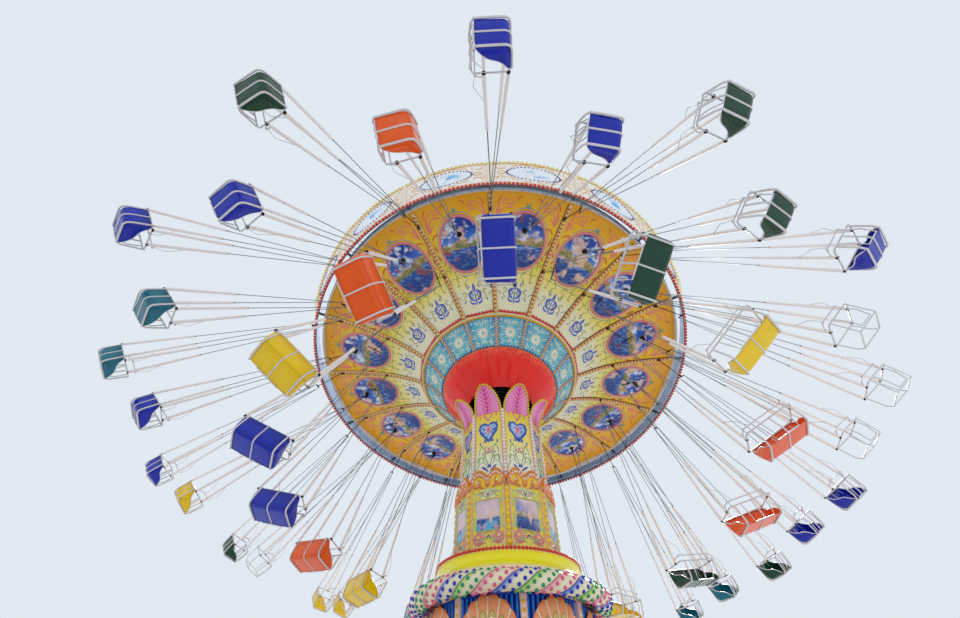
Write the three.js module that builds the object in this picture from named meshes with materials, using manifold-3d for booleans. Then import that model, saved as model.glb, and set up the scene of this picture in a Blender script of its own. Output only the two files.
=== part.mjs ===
// Chair swing ride: a fixed drum, a telescoping column that turns in it, a tilting
// head, a turning canopy and 48 chairs on chains, shown in full flight.
// Millimetres, +Z up, origin on the tower axis at ground level, front towards -Y.
import * as THREE from 'three';
import { mergeVertices } from 'three/addons/utils/BufferGeometryUtils.js';
import Module from 'manifold-3d';

const wasm = await Module();
wasm.setup();

// Canopy, measured from the pivot of its tilt on the tower axis
const PIVOT_Z = 7960;
const TILT = THREE.MathUtils.degToRad(12);
const BAYS = 16;
const RIM_R = 5500;
const RIM_Z = 2172;
const CEILING_THICK = 40;
const CEILING_IN_R = 2255;
const CEILING_DIP = 720;
const VAULT_RISE = 110;
const BEAM_TOP_Z = RIM_Z + 300;
const COVE_IN_R = 1634;
const COVE_IN_Z = 852;
const BOWL_HOLE_R = 880;

// Rounding boards that slant outwards round the canopy
const BOARD_LOW_R = 5640;
const BOARD_LOW_Z = RIM_Z - 250;
const BOARD_TOP_R = 5960;
const BOARD_TOP_Z = RIM_Z + 800;
const BOARD_CROWN = 130;
const BOARD_THICK = 50;

// Tower: octagonal tubes that slide in one another, corner towards the front
const TOWER_SIDES = 8;
const TOWER_TURN = THREE.MathUtils.degToRad(3);
const WALL = 40;
const UPPER_R = 970;
const UPPER_LOW_Z = 4500;
const UPPER_TOP_Z = 7440;
const LOWER_R = 1080;
const LOWER_LOW_Z = 3200;
const LOWER_TOP_Z = 5550;
const SLEEVE_R = 1200;
const SLEEVE_LOW_Z = 260;
const SLEEVE_TOP_Z = 3700;
const GUIDE_HEIGHT = 140;
const SLIDE_GAP = 0.4;
const SEAT_GAP = 0.3;

// Petals round the top of the upper tube
const PETAL_LOW_Z = 7390;
const PETAL_TIP_Z = 8030;
const PETAL_TIP_R = 1235;
const PETAL_THICK = 22;

// Fixed base
const DRUM_TOP_Z = 3560;
const DRUM_WALL_R = 1400;
const DRUM_POST_R = 1470;
const DRUM_TURN = THREE.MathUtils.degToRad(9);
const PLINTH_R = 2300;
const FLOOR_Z = 250;
const GARLAND_R = 1700;
const GARLAND_TUBE = 160;
const GARLAND_Z = 3660;
const BEAD_RING_R = 1404;
const BEAD_RING_Z = 4235;

// Chairs: length from the hanger's pin to the arm ring, and the three rings of hangers
const HANG_LENGTH = 4900;
const LINK_LENGTH = 840;
const EYE_DROP = 110;
const HANGER_THICK = 24;
const CHAIR_RINGS = [
  { name: 'outer', radius: 5005, offset: 0, swing: [39.0, -0.5, 9.4], lag: [-1.6, 0, 5.4] },
  { name: 'middle', radius: 4470, offset: 0.5, swing: [36.7, -4.3, 4.4], lag: [-6.2, 4.2, -2.2] },
  { name: 'double', radius: 3520, offset: 0, swing: [15.1, 9.2, -2.6], lag: [-4.9, 3.7, -0.9] },
];
const BARE = { outer: [13], middle: [5, 12, 13], double: [] };
const SINGLE_W = 560;
const DOUBLE_W = 1040;

const NAVY = 0x15247c;
const ORANGE = 0xe8501e;
const YELLOW = 0xf2c117;
const GREEN = 0x14603a;
const TEAL = 0x1a8f96;
const CHAIR_COLOURS = {
  outer: [
    NAVY, GREEN, NAVY, TEAL, NAVY, GREEN, YELLOW, ORANGE,
    TEAL, NAVY, TEAL, GREEN, NAVY, NAVY, NAVY, GREEN,
  ],
  middle: [
    ORANGE, NAVY, TEAL, NAVY, YELLOW, NAVY, YELLOW, GREEN,
    ORANGE, YELLOW, TEAL, NAVY, NAVY, NAVY, GREEN, NAVY,
  ],
  double: [
    NAVY, ORANGE, YELLOW, NAVY, NAVY, ORANGE, YELLOW, TEAL,
    GREEN, NAVY, YELLOW, GREEN, ORANGE, ORANGE, YELLOW, GREEN,
  ],
};

const object = new THREE.Group();

function paint(colour, roughness = 0.4, metalness = 0) {
  return new THREE.MeshStandardMaterial({ color: colour, roughness, metalness });
}

// A closed solid from a three.js geometry, its shared corners merged
function solid(geometry) {
  let plain = geometry.index ? geometry.toNonIndexed() : geometry.clone();
  plain.deleteAttribute('normal');
  plain.deleteAttribute('uv');
  plain = mergeVertices(plain, 0.001);
  const vertProperties = new Float32Array(plain.attributes.position.array);
  const corners = Array.from(plain.index.array);
  const kept = [];
  for (let i = 0; i < corners.length; i += 3) {
    const [a, b, c] = corners.slice(i, i + 3);
    if (a !== b && b !== c && c !== a) kept.push(a, b, c);
  }
  return new wasm.Manifold(new wasm.Mesh({ numProp: 3, vertProperties, triVerts: new Uint32Array(kept) }));
}

function geometryOf(body) {
  const mesh = body.getMesh();
  const geometry = new THREE.BufferGeometry();
  geometry.setAttribute('position', new THREE.BufferAttribute(new Float32Array(mesh.vertProperties), 3));
  geometry.setIndex(Array.from(mesh.triVerts));
  geometry.computeVertexNormals();
  return geometry;
}

function join(bodies) {
  return bodies.reduce((whole, body) => whole.add(body));
}

function addPiece(parent, name, body, material) {
  const mesh = new THREE.Mesh(geometryOf(body), material);
  mesh.name = name;
  parent.add(mesh);
  return mesh;
}

function block(width, depth, height, x, y, z, turn = 0) {
  const geometry = new THREE.BoxGeometry(width, depth, height);
  geometry.translate(x, y, z);
  geometry.rotateZ(turn);
  return solid(geometry);
}

// A straight bar of a few sides from one point to another
function bar(from, to, radius, sides = 4) {
  const start = new THREE.Vector3(...from);
  const end = new THREE.Vector3(...to);
  const along = end.clone().sub(start);
  const geometry = new THREE.CylinderGeometry(radius, radius, along.length(), sides);
  const turn = new THREE.Quaternion().setFromUnitVectors(new THREE.Vector3(0, 1, 0), along.normalize());
  geometry.applyQuaternion(turn);
  const middle = start.add(end).multiplyScalar(0.5);
  geometry.translate(middle.x, middle.y, middle.z);
  return solid(geometry);
}

// A solid of revolution about Z; the profile is a closed list of [radius, height]
function turned(profile, sides, turn = 0) {
  const points = profile.map(([radius, height]) => new THREE.Vector2(radius, height));
  points.push(points[0].clone());
  const geometry = new THREE.LatheGeometry(points, sides);
  geometry.rotateX(Math.PI / 2);
  geometry.rotateZ(turn);
  return solid(geometry);
}

// A flat outline in X and Z, given thickness along Y about y = 0
function cutout(outline, thickness) {
  const shape = new THREE.Shape(outline.map(([x, z]) => new THREE.Vector2(x, z)));
  const geometry = new THREE.ExtrudeGeometry(shape, { depth: thickness, bevelEnabled: false });
  geometry.translate(0, 0, -thickness / 2);
  geometry.rotateX(Math.PI / 2);
  return solid(geometry);
}

// A closed sheet: a grid of points (row, column) and the same grid moved by its thickness
function sheet(rows, columns, closed, pointAt, thicknessAt) {
  const positions = [];
  for (let side = 0; side < 2; side += 1) {
    for (let row = 0; row < rows; row += 1) {
      for (let column = 0; column < columns; column += 1) {
        const place = [row / (rows - 1), column / (closed ? columns : columns - 1)];
        const point = pointAt(...place);
        if (side === 1) point.add(thicknessAt(...place));
        positions.push(point.x, point.y, point.z);
      }
    }
  }
  const at = (side, row, column) => (side * rows + row) * columns + (column % columns);
  const faces = [];
  const quad = (a, b, c, d) => faces.push(a, b, c, a, c, d);
  const spans = closed ? columns : columns - 1;
  for (let row = 0; row < rows - 1; row += 1) {
    for (let column = 0; column < spans; column += 1) {
      quad(at(0, row, column), at(0, row + 1, column), at(0, row + 1, column + 1), at(0, row, column + 1));
      quad(at(1, row, column), at(1, row, column + 1), at(1, row + 1, column + 1), at(1, row + 1, column));
    }
  }
  for (let column = 0; column < spans; column += 1) {
    quad(at(0, 0, column), at(0, 0, column + 1), at(1, 0, column + 1), at(1, 0, column));
    const last = rows - 1;
    quad(at(0, last, column + 1), at(0, last, column), at(1, last, column), at(1, last, column + 1));
  }
  if (!closed) {
    for (let row = 0; row < rows - 1; row += 1) {
      quad(at(0, row + 1, 0), at(0, row, 0), at(1, row, 0), at(1, row + 1, 0));
      quad(at(0, row, spans), at(0, row + 1, spans), at(1, row + 1, spans), at(1, row, spans));
    }
  }
  const geometry = new THREE.BufferGeometry();
  geometry.setAttribute('position', new THREE.Float32BufferAttribute(positions, 3));
  geometry.setIndex(faces);
  const body = solid(geometry);
  if (body.volume() > 0) return body;
  const flipped = [];
  for (let i = 0; i < faces.length; i += 3) flipped.push(faces[i], faces[i + 2], faces[i + 1]);
  geometry.setIndex(flipped);
  return solid(geometry);
}

function around(count, turn, build) {
  return Array.from({ length: count }, (_, index) => build(turn + (index * 2 * Math.PI) / count, index));
}

// The front of the ride is -Y; a heading counts from there towards -X
function outward(heading) {
  return new THREE.Vector3(-Math.sin(heading), -Math.cos(heading), 0);
}

// Direction of travel of the chairs at a heading
function travel(heading) {
  return new THREE.Vector3(-Math.cos(heading), Math.sin(heading), 0);
}

// Underside of the ceiling: level at the rim, dipping towards the centre, vaulted between ribs
function ceilingHeight(radius) {
  const inwards = (1 - radius / RIM_R) / (1 - CEILING_IN_R / RIM_R);
  return RIM_Z - CEILING_DIP * Math.max(inwards, 0) ** 2.5;
}

function vaultRise(radius, heading) {
  const bay = (heading * BAYS) / (2 * Math.PI);
  const across = Math.sin(Math.PI * (bay - Math.floor(bay)));
  const along = THREE.MathUtils.clamp((radius - CEILING_IN_R) / 900, 0, 1);
  return VAULT_RISE * across * along;
}

// Fixed base: stepped plinth, drum wall, eight posts and eight scallop shells
function makeDrum() {
  const inside = DRUM_WALL_R - 30;
  const drum = turned([
    [0, 0], [PLINTH_R, 0], [PLINTH_R, 150], [2060, 170], [2060, FLOOR_Z], [1430, FLOOR_Z],
    [1430, 1660], [1480, 1700], [1480, 1790], [DRUM_WALL_R, 1860], [DRUM_WALL_R, DRUM_TOP_Z - 70],
    [1480, DRUM_TOP_Z - 30], [1480, DRUM_TOP_Z], [inside, DRUM_TOP_Z], [inside, FLOOR_Z], [0, FLOOR_Z],
  ], 24, DRUM_TURN);
  const posts = around(TOWER_SIDES, DRUM_TURN, (turn) => (
    block(110, 125, DRUM_TOP_Z - 1850, 0, -(DRUM_POST_R - 62.5), (DRUM_TOP_Z + 1770) / 2, turn)
  ));
  const shellPoint = (up, across) => {
    const spread = (across - 0.5) * 2;
    const width = 490 * Math.sin(Math.PI * Math.min(0.28 + up * 0.36, 0.5)) * Math.sqrt(1 - 0.55 * up ** 4);
    const bulge = 140 * Math.sin(Math.PI * (0.12 + 0.68 * up)) * (1 - 0.75 * spread ** 2);
    const height = 2130 + up * 1390 - 200 * spread ** 2 * up;
    return new THREE.Vector3(spread * width, -(DRUM_WALL_R - 20 + bulge), height);
  };
  const shells = around(TOWER_SIDES, DRUM_TURN + Math.PI / 8, (turn) => {
    const shell = sheet(4, 5, false, shellPoint, () => new THREE.Vector3(0, 88, 0));
    return shell.rotate([0, 0, THREE.MathUtils.radToDeg(turn)]);
  });
  return join([drum, ...posts, ...shells]);
}

// Thick twisted garland ring round the drum's top edge, carried by a flat ring inside it
function makeGarland() {
  const geometry = new THREE.TorusGeometry(GARLAND_R, GARLAND_TUBE, 12, 24);
  geometry.translate(0, 0, GARLAND_Z);
  const seat = DRUM_TOP_Z + SEAT_GAP;
  const ring = turned([[1420, seat], [1620, seat], [1620, seat + 110], [1420, seat + 110]], 24);
  return solid(geometry).add(ring);
}

// Flared cornice: glossy cove with a ring of beads on its upper edge
function makeCornice() {
  const low = GARLAND_Z + GARLAND_TUBE + SEAT_GAP;
  return turned([
    [1300, low], [1710, low], [1690, low + 40], [1590, low + 110], [1490, low + 205], [1415, low + 330],
    [BEAD_RING_R, BEAD_RING_Z - 50], [BEAD_RING_R + 8, BEAD_RING_Z], [BEAD_RING_R - 30, BEAD_RING_Z + 30],
    [1300, BEAD_RING_Z - 20],
  ], 32);
}

function octagon(outer, inner, low, high) {
  const profile = [[inner, low], [outer, low], [outer, high], [inner, high]];
  return turned(profile, TOWER_SIDES, TOWER_TURN - Math.PI / 2);
}

// Turning guide sleeve inside the drum, on a flange that runs on the drum's floor
function makeSleeve() {
  const flange = turned([
    [900, FLOOR_Z + SEAT_GAP], [1320, FLOOR_Z + SEAT_GAP], [1320, FLOOR_Z + 90], [900, FLOOR_Z + 90],
  ], 24);
  const tube = octagon(SLEEVE_R, 900, SLEEVE_LOW_Z + 20, SLEEVE_TOP_Z);
  const core = new THREE.CylinderGeometry(SLEEVE_R - WALL, SLEEVE_R - WALL, 9000, TOWER_SIDES);
  core.rotateX(Math.PI / 2);
  core.rotateZ(TOWER_TURN);
  return flange.add(tube).subtract(solid(core));
}

// Lower tube of the column with its guide band and a scrolled crest on each side
function makeLowerColumn() {
  const inner = LOWER_R - WALL;
  const tube = octagon(LOWER_R, inner, LOWER_LOW_Z, LOWER_TOP_Z);
  const band = octagon(SLEEVE_R - WALL - SLIDE_GAP, inner, LOWER_LOW_Z, LOWER_LOW_Z + GUIDE_HEIGHT);
  const apothem = LOWER_R * Math.cos(Math.PI / TOWER_SIDES);
  const half = LOWER_R * Math.sin(Math.PI / TOWER_SIDES);
  const crests = around(TOWER_SIDES, TOWER_TURN + Math.PI / TOWER_SIDES, (turn) => {
    const crest = cutout([
      [-half * 0.96, LOWER_TOP_Z - 70], [half * 0.96, LOWER_TOP_Z - 70], [half * 0.94, LOWER_TOP_Z + 160],
      [half * 0.62, LOWER_TOP_Z + 350], [half * 0.22, LOWER_TOP_Z + 340], [0, LOWER_TOP_Z + 220],
      [-half * 0.22, LOWER_TOP_Z + 340], [-half * 0.62, LOWER_TOP_Z + 350],
      [-half * 0.94, LOWER_TOP_Z + 160],
    ], 60);
    return crest.translate([0, -(apothem - 5), 0]).rotate([0, 0, THREE.MathUtils.radToDeg(turn)]);
  });
  return join([tube, band, ...crests]);
}

// Upper tube with guide band, deck, two lugs for the tilting head and eight flared petals
function makeUpperColumn() {
  const inner = UPPER_R - WALL;
  const tube = octagon(UPPER_R, inner, UPPER_LOW_Z, UPPER_TOP_Z);
  const band = octagon(LOWER_R - WALL - SLIDE_GAP, inner, UPPER_LOW_Z, UPPER_LOW_Z + GUIDE_HEIGHT);
  const deck = octagon(inner + 10, 60, UPPER_TOP_Z - 90, UPPER_TOP_Z - 40);
  const hole = new THREE.CylinderGeometry(63, 63, 1200, 16);
  hole.rotateZ(Math.PI / 2);
  hole.translate(0, 0, PIVOT_Z);
  const [lugLow, lugTop] = [UPPER_TOP_Z - 60, PIVOT_Z + 110];
  const lugs = [-1, 1].map((side) => block(60, 300, lugTop - lugLow, side * 360, 0, (lugTop + lugLow) / 2));
  const apothem = UPPER_R * Math.cos(Math.PI / TOWER_SIDES);
  const half = UPPER_R * Math.sin(Math.PI / TOWER_SIDES);
  const petalPoint = (up, across) => {
    const spread = (across - 0.5) * 2;
    const width = half * 0.93 * Math.cos((Math.PI / 2) * up ** 1.7 * 0.93);
    const lean = (PETAL_TIP_R - apothem) * up ** 1.8;
    const height = PETAL_LOW_Z + (PETAL_TIP_Z - PETAL_LOW_Z) * up;
    return new THREE.Vector3(spread * width, -(apothem + lean) - 12, height);
  };
  const petals = around(TOWER_SIDES, TOWER_TURN + Math.PI / TOWER_SIDES, (turn) => {
    const petal = sheet(4, 3, false, petalPoint, () => new THREE.Vector3(0, PETAL_THICK, 0));
    return petal.rotate([0, 0, THREE.MathUtils.radToDeg(turn)]);
  });
  return join([tube, band, deck, ...lugs, ...petals]).subtract(solid(hole));
}

// Tilting head: cross shaft in the lugs, a disc and the spigot that the canopy turns on
function makeTiltHead() {
  const shaft = new THREE.CylinderGeometry(61, 61, 800, 16);
  shaft.rotateZ(Math.PI / 2);
  return join([
    solid(shaft),
    block(658, 360, 400, 0, 0, 60),
    turned([[40, 250], [470, 250], [470, 330], [300, 330], [300, 760], [40, 760]], 24),
  ]);
}

// Hub, sixteen beams and the outer ring that carry the ceiling and the boards
function makeCanopyFrame() {
  const hub = turned([[303.5, 330.3], [520, 330.3], [520, 2420], [303.5, 2420]], 24);
  const foot = RIM_Z + CEILING_THICK + 4.2;
  const beams = around(BAYS, 0, (turn) => cutout([
    [460, 1700], [CEILING_IN_R + 120, RIM_Z - CEILING_DIP + 480], [RIM_R - 300, foot + 90],
    [RIM_R - 250, foot], [RIM_R - 20, foot], [RIM_R - 20, BEAM_TOP_Z], [460, 2380],
  ], 70).rotate([0, 0, THREE.MathUtils.radToDeg(turn) - 90]));
  return join([hub, ...beams]);
}

// The ceiling's sixteen vaulted panels with ribs between them, and the chairs' hangers
function makeCeiling() {
  const point = (inwards, round) => {
    const radius = RIM_R + (CEILING_IN_R - RIM_R) * inwards;
    const heading = round * 2 * Math.PI;
    const height = ceilingHeight(radius) + vaultRise(radius, heading);
    return outward(heading).multiplyScalar(radius).setZ(height);
  };
  const skin = sheet(6, BAYS * 2, true, point, () => new THREE.Vector3(0, 0, CEILING_THICK));
  return join([skin, ...CHAIR_RINGS.flatMap(makeHangers)]);
}

// Where a chair hangs and which way its chains point, both in the canopy's own frame
function chairPlace(ring, index) {
  const heading = ((index + ring.offset) * 2 * Math.PI) / BAYS;
  const [swing, lag] = [ring.swing, ring.lag].map(([mean, front, side]) => (
    THREE.MathUtils.degToRad(mean + front * Math.cos(heading) + side * Math.sin(heading))
  ));
  const height = ceilingHeight(ring.radius) + vaultRise(ring.radius, heading) - EYE_DROP;
  const pin = outward(heading).multiplyScalar(ring.radius).setZ(height);
  const down = outward(heading).multiplyScalar(Math.sin(swing) * Math.cos(lag))
    .add(travel(heading).multiplyScalar(Math.sin(lag)))
    .add(new THREE.Vector3(0, 0, -Math.cos(swing) * Math.cos(lag)));
  const axis = new THREE.Vector3(0, 0, -1).cross(down).normalize();
  return { heading, pin, down, axis, angle: Math.acos(-down.z) };
}

// A lug plate per chair, square to its pin, let into the ceiling
function makeHangers(ring) {
  return Array.from({ length: BAYS }, (_, index) => {
    const { pin, axis } = chairPlace(ring, index);
    const turn = Math.atan2(axis.y, axis.x);
    const height = EYE_DROP + 70;
    const lug = block(30, 90, height, HANGER_THICK / 2 + SLIDE_GAP + 15, 0, height / 2 - 40);
    return lug.rotate([0, 0, THREE.MathUtils.radToDeg(turn)]).translate([pin.x, pin.y, pin.z]);
  });
}

// Rounding boards: a slanting ring with a crown over each bay, on brackets from the ceiling's edge
function makeBoards() {
  const rise = (round) => {
    const bay = round * BAYS;
    return BOARD_CROWN * Math.abs(Math.sin(Math.PI * bay));
  };
  const point = (up, round) => {
    const heading = round * 2 * Math.PI;
    const radius = BOARD_LOW_R + (BOARD_TOP_R - BOARD_LOW_R) * up;
    const height = BOARD_LOW_Z + (BOARD_TOP_Z - BOARD_LOW_Z) * up + rise(round) * up ** 2;
    return outward(heading).multiplyScalar(radius).setZ(height);
  };
  const ring = sheet(2, BAYS * 2, true, point, (up, round) => (
    outward(round * 2 * Math.PI).multiplyScalar(BOARD_THICK)
  ));
  const arms = around(BAYS, 0, (turn) => (
    block(50, 250, 60, 0, -(RIM_R + SEAT_GAP + 125), RIM_Z + 30, turn)
  ));
  return join([ring, ...arms]);
}

// Bowl and cove that close the ceiling's centre, open round the tilting head
function makeBowl() {
  const outside = [
    [CEILING_IN_R + 70, RIM_Z - CEILING_DIP - 26], [CEILING_IN_R + 70, RIM_Z - CEILING_DIP - SEAT_GAP],
    [CEILING_IN_R - 60, RIM_Z - CEILING_DIP - SEAT_GAP], [1850, 1170], [COVE_IN_R - 20, 880],
    [1395, 645], [1180, 425], [BOWL_HOLE_R, 112],
  ];
  const underside = [
    [BOWL_HOLE_R, 56], [1200, 372], [1420, 600], [COVE_IN_R + 5, COVE_IN_Z - 15],
    [1730, 900], [1890, 1130], [CEILING_IN_R - 60, 1410],
  ];
  const shell = turned([...outside, ...underside], 24);
  const spokes = around(4, Math.PI / 16, (turn) => (
    block(60, 1240, 70, 0, -(520.3 + 620), 925, turn)
  ));
  return join([shell, ...spokes]);
}

// Shallow weather cover over the beams
function makeRoof() {
  return turned([
    [RIM_R - 20, BEAM_TOP_Z + SEAT_GAP], [RIM_R + 60, BEAM_TOP_Z + 20], [RIM_R + 60, BEAM_TOP_Z + 50],
    [520, 2720], [300, 2960], [0, 3060], [0, 3020], [270, 2925], [500, 2680],
  ], BAYS, -Math.PI / 2);
}

// Chair in its own frame: pin at the origin, chains down -Z, X forwards, Y across.
// The eye is turned by its twist, so that it lies flat against the hanger's lug.
function makeChair(kind, twist) {
  const width = kind === 'double' ? DOUBLE_W : SINGLE_W;
  const spread = kind === 'double' ? 210 : 120;
  const level = -HANG_LENGTH;
  const [rear, front] = [-210, 320];
  const hanger = cutout([
    [-11, -66], [-11, -LINK_LENGTH], [-spread, -LINK_LENGTH], [-spread, -LINK_LENGTH - 26],
    [spread, -LINK_LENGTH - 26], [spread, -LINK_LENGTH], [11, -LINK_LENGTH], [11, -66],
  ], 24).rotate([0, 0, 90]);
  const eye = block(HANGER_THICK, 44, 120, 0, 0, -30).rotate([0, 0, twist]);
  const pieces = [hanger, eye, makeArmRing(width, rear, front).translate([0, 0, level])];
  for (const across of [-1, 1]) {
    for (const foot of [rear + 20, 150]) {
      const top = [0, across * (spread - 13), -LINK_LENGTH - 13];
      pieces.push(bar(top, [foot, (across * width) / 2, level], 12, 3));
    }
  }
  if (kind === 'bare') {
    for (const across of [-0.42 * width, 0.42 * width]) {
      pieces.push(makeStrap(rear, front).translate([0, across, level]));
    }
  } else {
    pieces.push(makeBucket(width - 64, rear, front).translate([0, 0, level]));
  }
  return join(pieces);
}

// Rectangular tube ring at arm height
function makeArmRing(width, rear, front) {
  const side = width / 2;
  const shape = new THREE.Shape();
  const corners = (grow) => [
    [rear - grow, -side - grow], [front + grow, -side - grow],
    [front + grow, side + grow], [rear - grow, side + grow],
  ].map(([x, y]) => new THREE.Vector2(x, y));
  shape.setFromPoints(corners(14));
  shape.holes.push(new THREE.Path(corners(-14)));
  const geometry = new THREE.ExtrudeGeometry(shape, { depth: 28, bevelEnabled: false });
  geometry.translate(0, 0, -14);
  return solid(geometry);
}

// Strap down from the ring's rear bar, forwards under the seat and up to its front bar
function makeStrap(rear, front) {
  return cutout([
    [rear - 14, 10], [rear - 14, -310], [rear + 60, -404], [front - 75, -404], [front + 10, -10],
    [front - 14, 4], [front - 98, -380], [rear + 72, -380], [rear + 10, -300], [rear + 10, 10],
  ], 26);
}

// Moulded bucket: back, seat pan and swept sides, open at the front and top
function makeBucket(width, rear, front) {
  const outside = [
    [rear - 6, 0], [rear - 6, -298], [rear + 64, -390],
    [front - 70, -390], [front - 210, -190], [rear + 60, 0],
  ];
  const inside = [
    [rear + 12, 90], [rear + 12, -292], [rear + 76, -368], [front + 60, -368],
  ];
  return cutout(outside, width).subtract(cutout(inside, width - 44));
}

const base = new THREE.Group();
object.add(base);
addPiece(base, 'base_drum', makeDrum(), paint(0x2b52c8));
addPiece(base, 'garland_ring', makeGarland(), paint(0xf3e7b8));
addPiece(base, 'flared_cornice', makeCornice(), paint(0xf6dc20, 0.15));
addPiece(base, 'turning_sleeve', makeSleeve(), paint(0x6d7275, 0.5, 0.6));
addPiece(base, 'lower_column', makeLowerColumn(), paint(0xf3cf4a));
addPiece(base, 'upper_column', makeUpperColumn(), paint(0xf4dc7a));

const canopy = new THREE.Group();
canopy.position.z = PIVOT_Z;
canopy.rotation.x = -TILT;
object.add(canopy);
addPiece(canopy, 'tilt_head', makeTiltHead(), paint(0x33363a, 0.5, 0.6));
addPiece(canopy, 'canopy_frame', makeCanopyFrame(), paint(0x8d9397, 0.5, 0.5));
addPiece(canopy, 'ceiling', makeCeiling(), paint(0xf0a818));
addPiece(canopy, 'rounding_boards', makeBoards(), paint(0xf4ecd6));
addPiece(canopy, 'centre_bowl', makeBowl(), paint(0xd9251d, 0.12));
addPiece(canopy, 'roof_cover', makeRoof(), paint(0xe8e2d0));

for (const ring of CHAIR_RINGS) {
  for (let index = 0; index < BAYS; index += 1) {
    const bare = BARE[ring.name].includes(index);
    const kind = ring.name === 'double' ? 'double' : bare ? 'bare' : 'single';
    const colour = bare ? 0xcfc6b4 : CHAIR_COLOURS[ring.name][index];
    const { pin, down, heading, axis } = chairPlace(ring, index);
    const up = down.clone().negate();
    const ahead = travel(heading).addScaledVector(up, -travel(heading).dot(up)).normalize();
    const across = up.clone().cross(ahead);
    const twist = THREE.MathUtils.radToDeg(Math.atan2(axis.dot(across), axis.dot(ahead)));
    const name = `chair_${ring.name}_${String(index).padStart(2, '0')}`;
    const chair = addPiece(canopy, name, makeChair(kind, twist), paint(colour, 0.3));
    chair.quaternion.setFromRotationMatrix(new THREE.Matrix4().makeBasis(ahead, across, up));
    chair.position.copy(pin);
  }
}

export default object;
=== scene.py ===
"""Chair swing ride in full flight: a painted tower, a tilted turning canopy and 48 chairs on chains.
Metres, +Z up, the tower's axis through the origin at ground level, the ride's front towards -Y."""

import math

import bpy
import numpy as np
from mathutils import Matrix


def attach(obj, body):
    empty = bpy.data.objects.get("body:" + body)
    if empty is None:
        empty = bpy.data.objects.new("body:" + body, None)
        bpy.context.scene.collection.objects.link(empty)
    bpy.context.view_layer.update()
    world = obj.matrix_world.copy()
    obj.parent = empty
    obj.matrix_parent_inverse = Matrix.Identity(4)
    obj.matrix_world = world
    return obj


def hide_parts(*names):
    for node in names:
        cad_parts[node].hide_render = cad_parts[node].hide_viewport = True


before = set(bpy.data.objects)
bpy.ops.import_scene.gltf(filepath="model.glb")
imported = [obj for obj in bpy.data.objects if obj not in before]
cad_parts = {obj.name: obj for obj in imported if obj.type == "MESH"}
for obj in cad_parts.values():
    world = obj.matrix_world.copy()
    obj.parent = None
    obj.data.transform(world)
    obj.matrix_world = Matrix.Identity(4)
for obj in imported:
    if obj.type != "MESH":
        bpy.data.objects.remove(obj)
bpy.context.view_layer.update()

# Camera close to the tower's foot, looking steeply up under the canopy, with a short lens.
# A pale floor throws soft light up at the paintwork, and a wide sun and a low panel light it.
IMAGE_WIDTH = 960
FOCAL_PIXELS = 395.9
CAMERA_PLACE = (0.0, -9.05, 1.6)
CAMERA_PITCH = math.radians(90 + 50.03)
CAMERA_HEADING = math.radians(3.5)
FLOOR_HALF = 90.0

camera_data = bpy.data.cameras.new("camera")
camera_data.sensor_width = 36.0
camera_data.lens = FOCAL_PIXELS / IMAGE_WIDTH * camera_data.sensor_width
camera_data.clip_end = 400.0
camera = bpy.data.objects.new("camera", camera_data)
camera.location = CAMERA_PLACE
camera.rotation_euler = (CAMERA_PITCH, 0.0, CAMERA_HEADING)
bpy.context.scene.collection.objects.link(camera)
bpy.context.scene.camera = camera
bpy.context.scene.view_settings.view_transform = "Standard"


def linear(code):
    """A paint's six-figure colour code as linear light: parts over 255, then the display curve undone."""
    part = np.array([int(code[i : i + 2], 16) for i in (0, 2, 4)]) / 255
    light = np.where(part > 0.04045, ((part + 0.055) / 1.055) ** 2.4, part / 12.92)
    return (*light.tolist(), 1.0)


world = bpy.data.worlds.new("studio")
world.use_nodes = True
backdrop = world.node_tree.nodes["Background"]
backdrop.inputs["Color"].default_value = linear("e6eef7")
backdrop.inputs["Strength"].default_value = 0.95
bpy.context.scene.world = world

floor_mesh = bpy.data.meshes.new("studio_floor")
floor_corners = FLOOR_HALF * np.array([(-1, -1, 0), (1, -1, 0), (1, 1, 0), (-1, 1, 0)]) - (0, 0, 0.004)
floor_mesh.from_pydata(floor_corners.tolist(), [], [(0, 1, 2, 3)])
floor = bpy.data.objects.new("studio_floor", floor_mesh)
floor_paint = bpy.data.materials.new("studio_floor_paint")
floor_paint.use_nodes = True
floor_paint.node_tree.nodes["Principled BSDF"].inputs["Base Color"].default_value = linear("cacccf")
floor_paint.node_tree.nodes["Principled BSDF"].inputs["Roughness"].default_value = 0.9
floor_mesh.materials.append(floor_paint)
bpy.context.scene.collection.objects.link(floor)


def add_light(name, kind, place, aim, strength, size):
    """A lamp turned to face its aim; size is a panel's side in metres or a sun's breadth in degrees."""
    data = bpy.data.lights.new(name, kind)
    data.energy = strength
    if kind == "AREA":
        data.size = size
    else:
        data.angle = math.radians(size)
    lamp = bpy.data.objects.new(name, data)
    lamp.location = place
    direction = np.subtract(aim, place)
    heading = math.atan2(direction[0], -direction[1])
    tilt = math.atan2(math.hypot(direction[0], direction[1]), -direction[2])
    lamp.rotation_euler = (tilt, 0.0, heading)
    lamp.visible_camera = False
    lamp.visible_glossy = kind == "SUN"
    bpy.context.scene.collection.objects.link(lamp)
    return data


add_light("sun", "SUN", (-9.0, -16.0, 22.0), (0.0, 0.0, 8.0), 2.7, 8.0)
low_panel = add_light("low_panel", "AREA", (-7.0, -36.0, 5.0), (0.0, 0.0, 9.5), 21000.0, 9.0)
low_panel.spread = math.radians(50)

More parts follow.
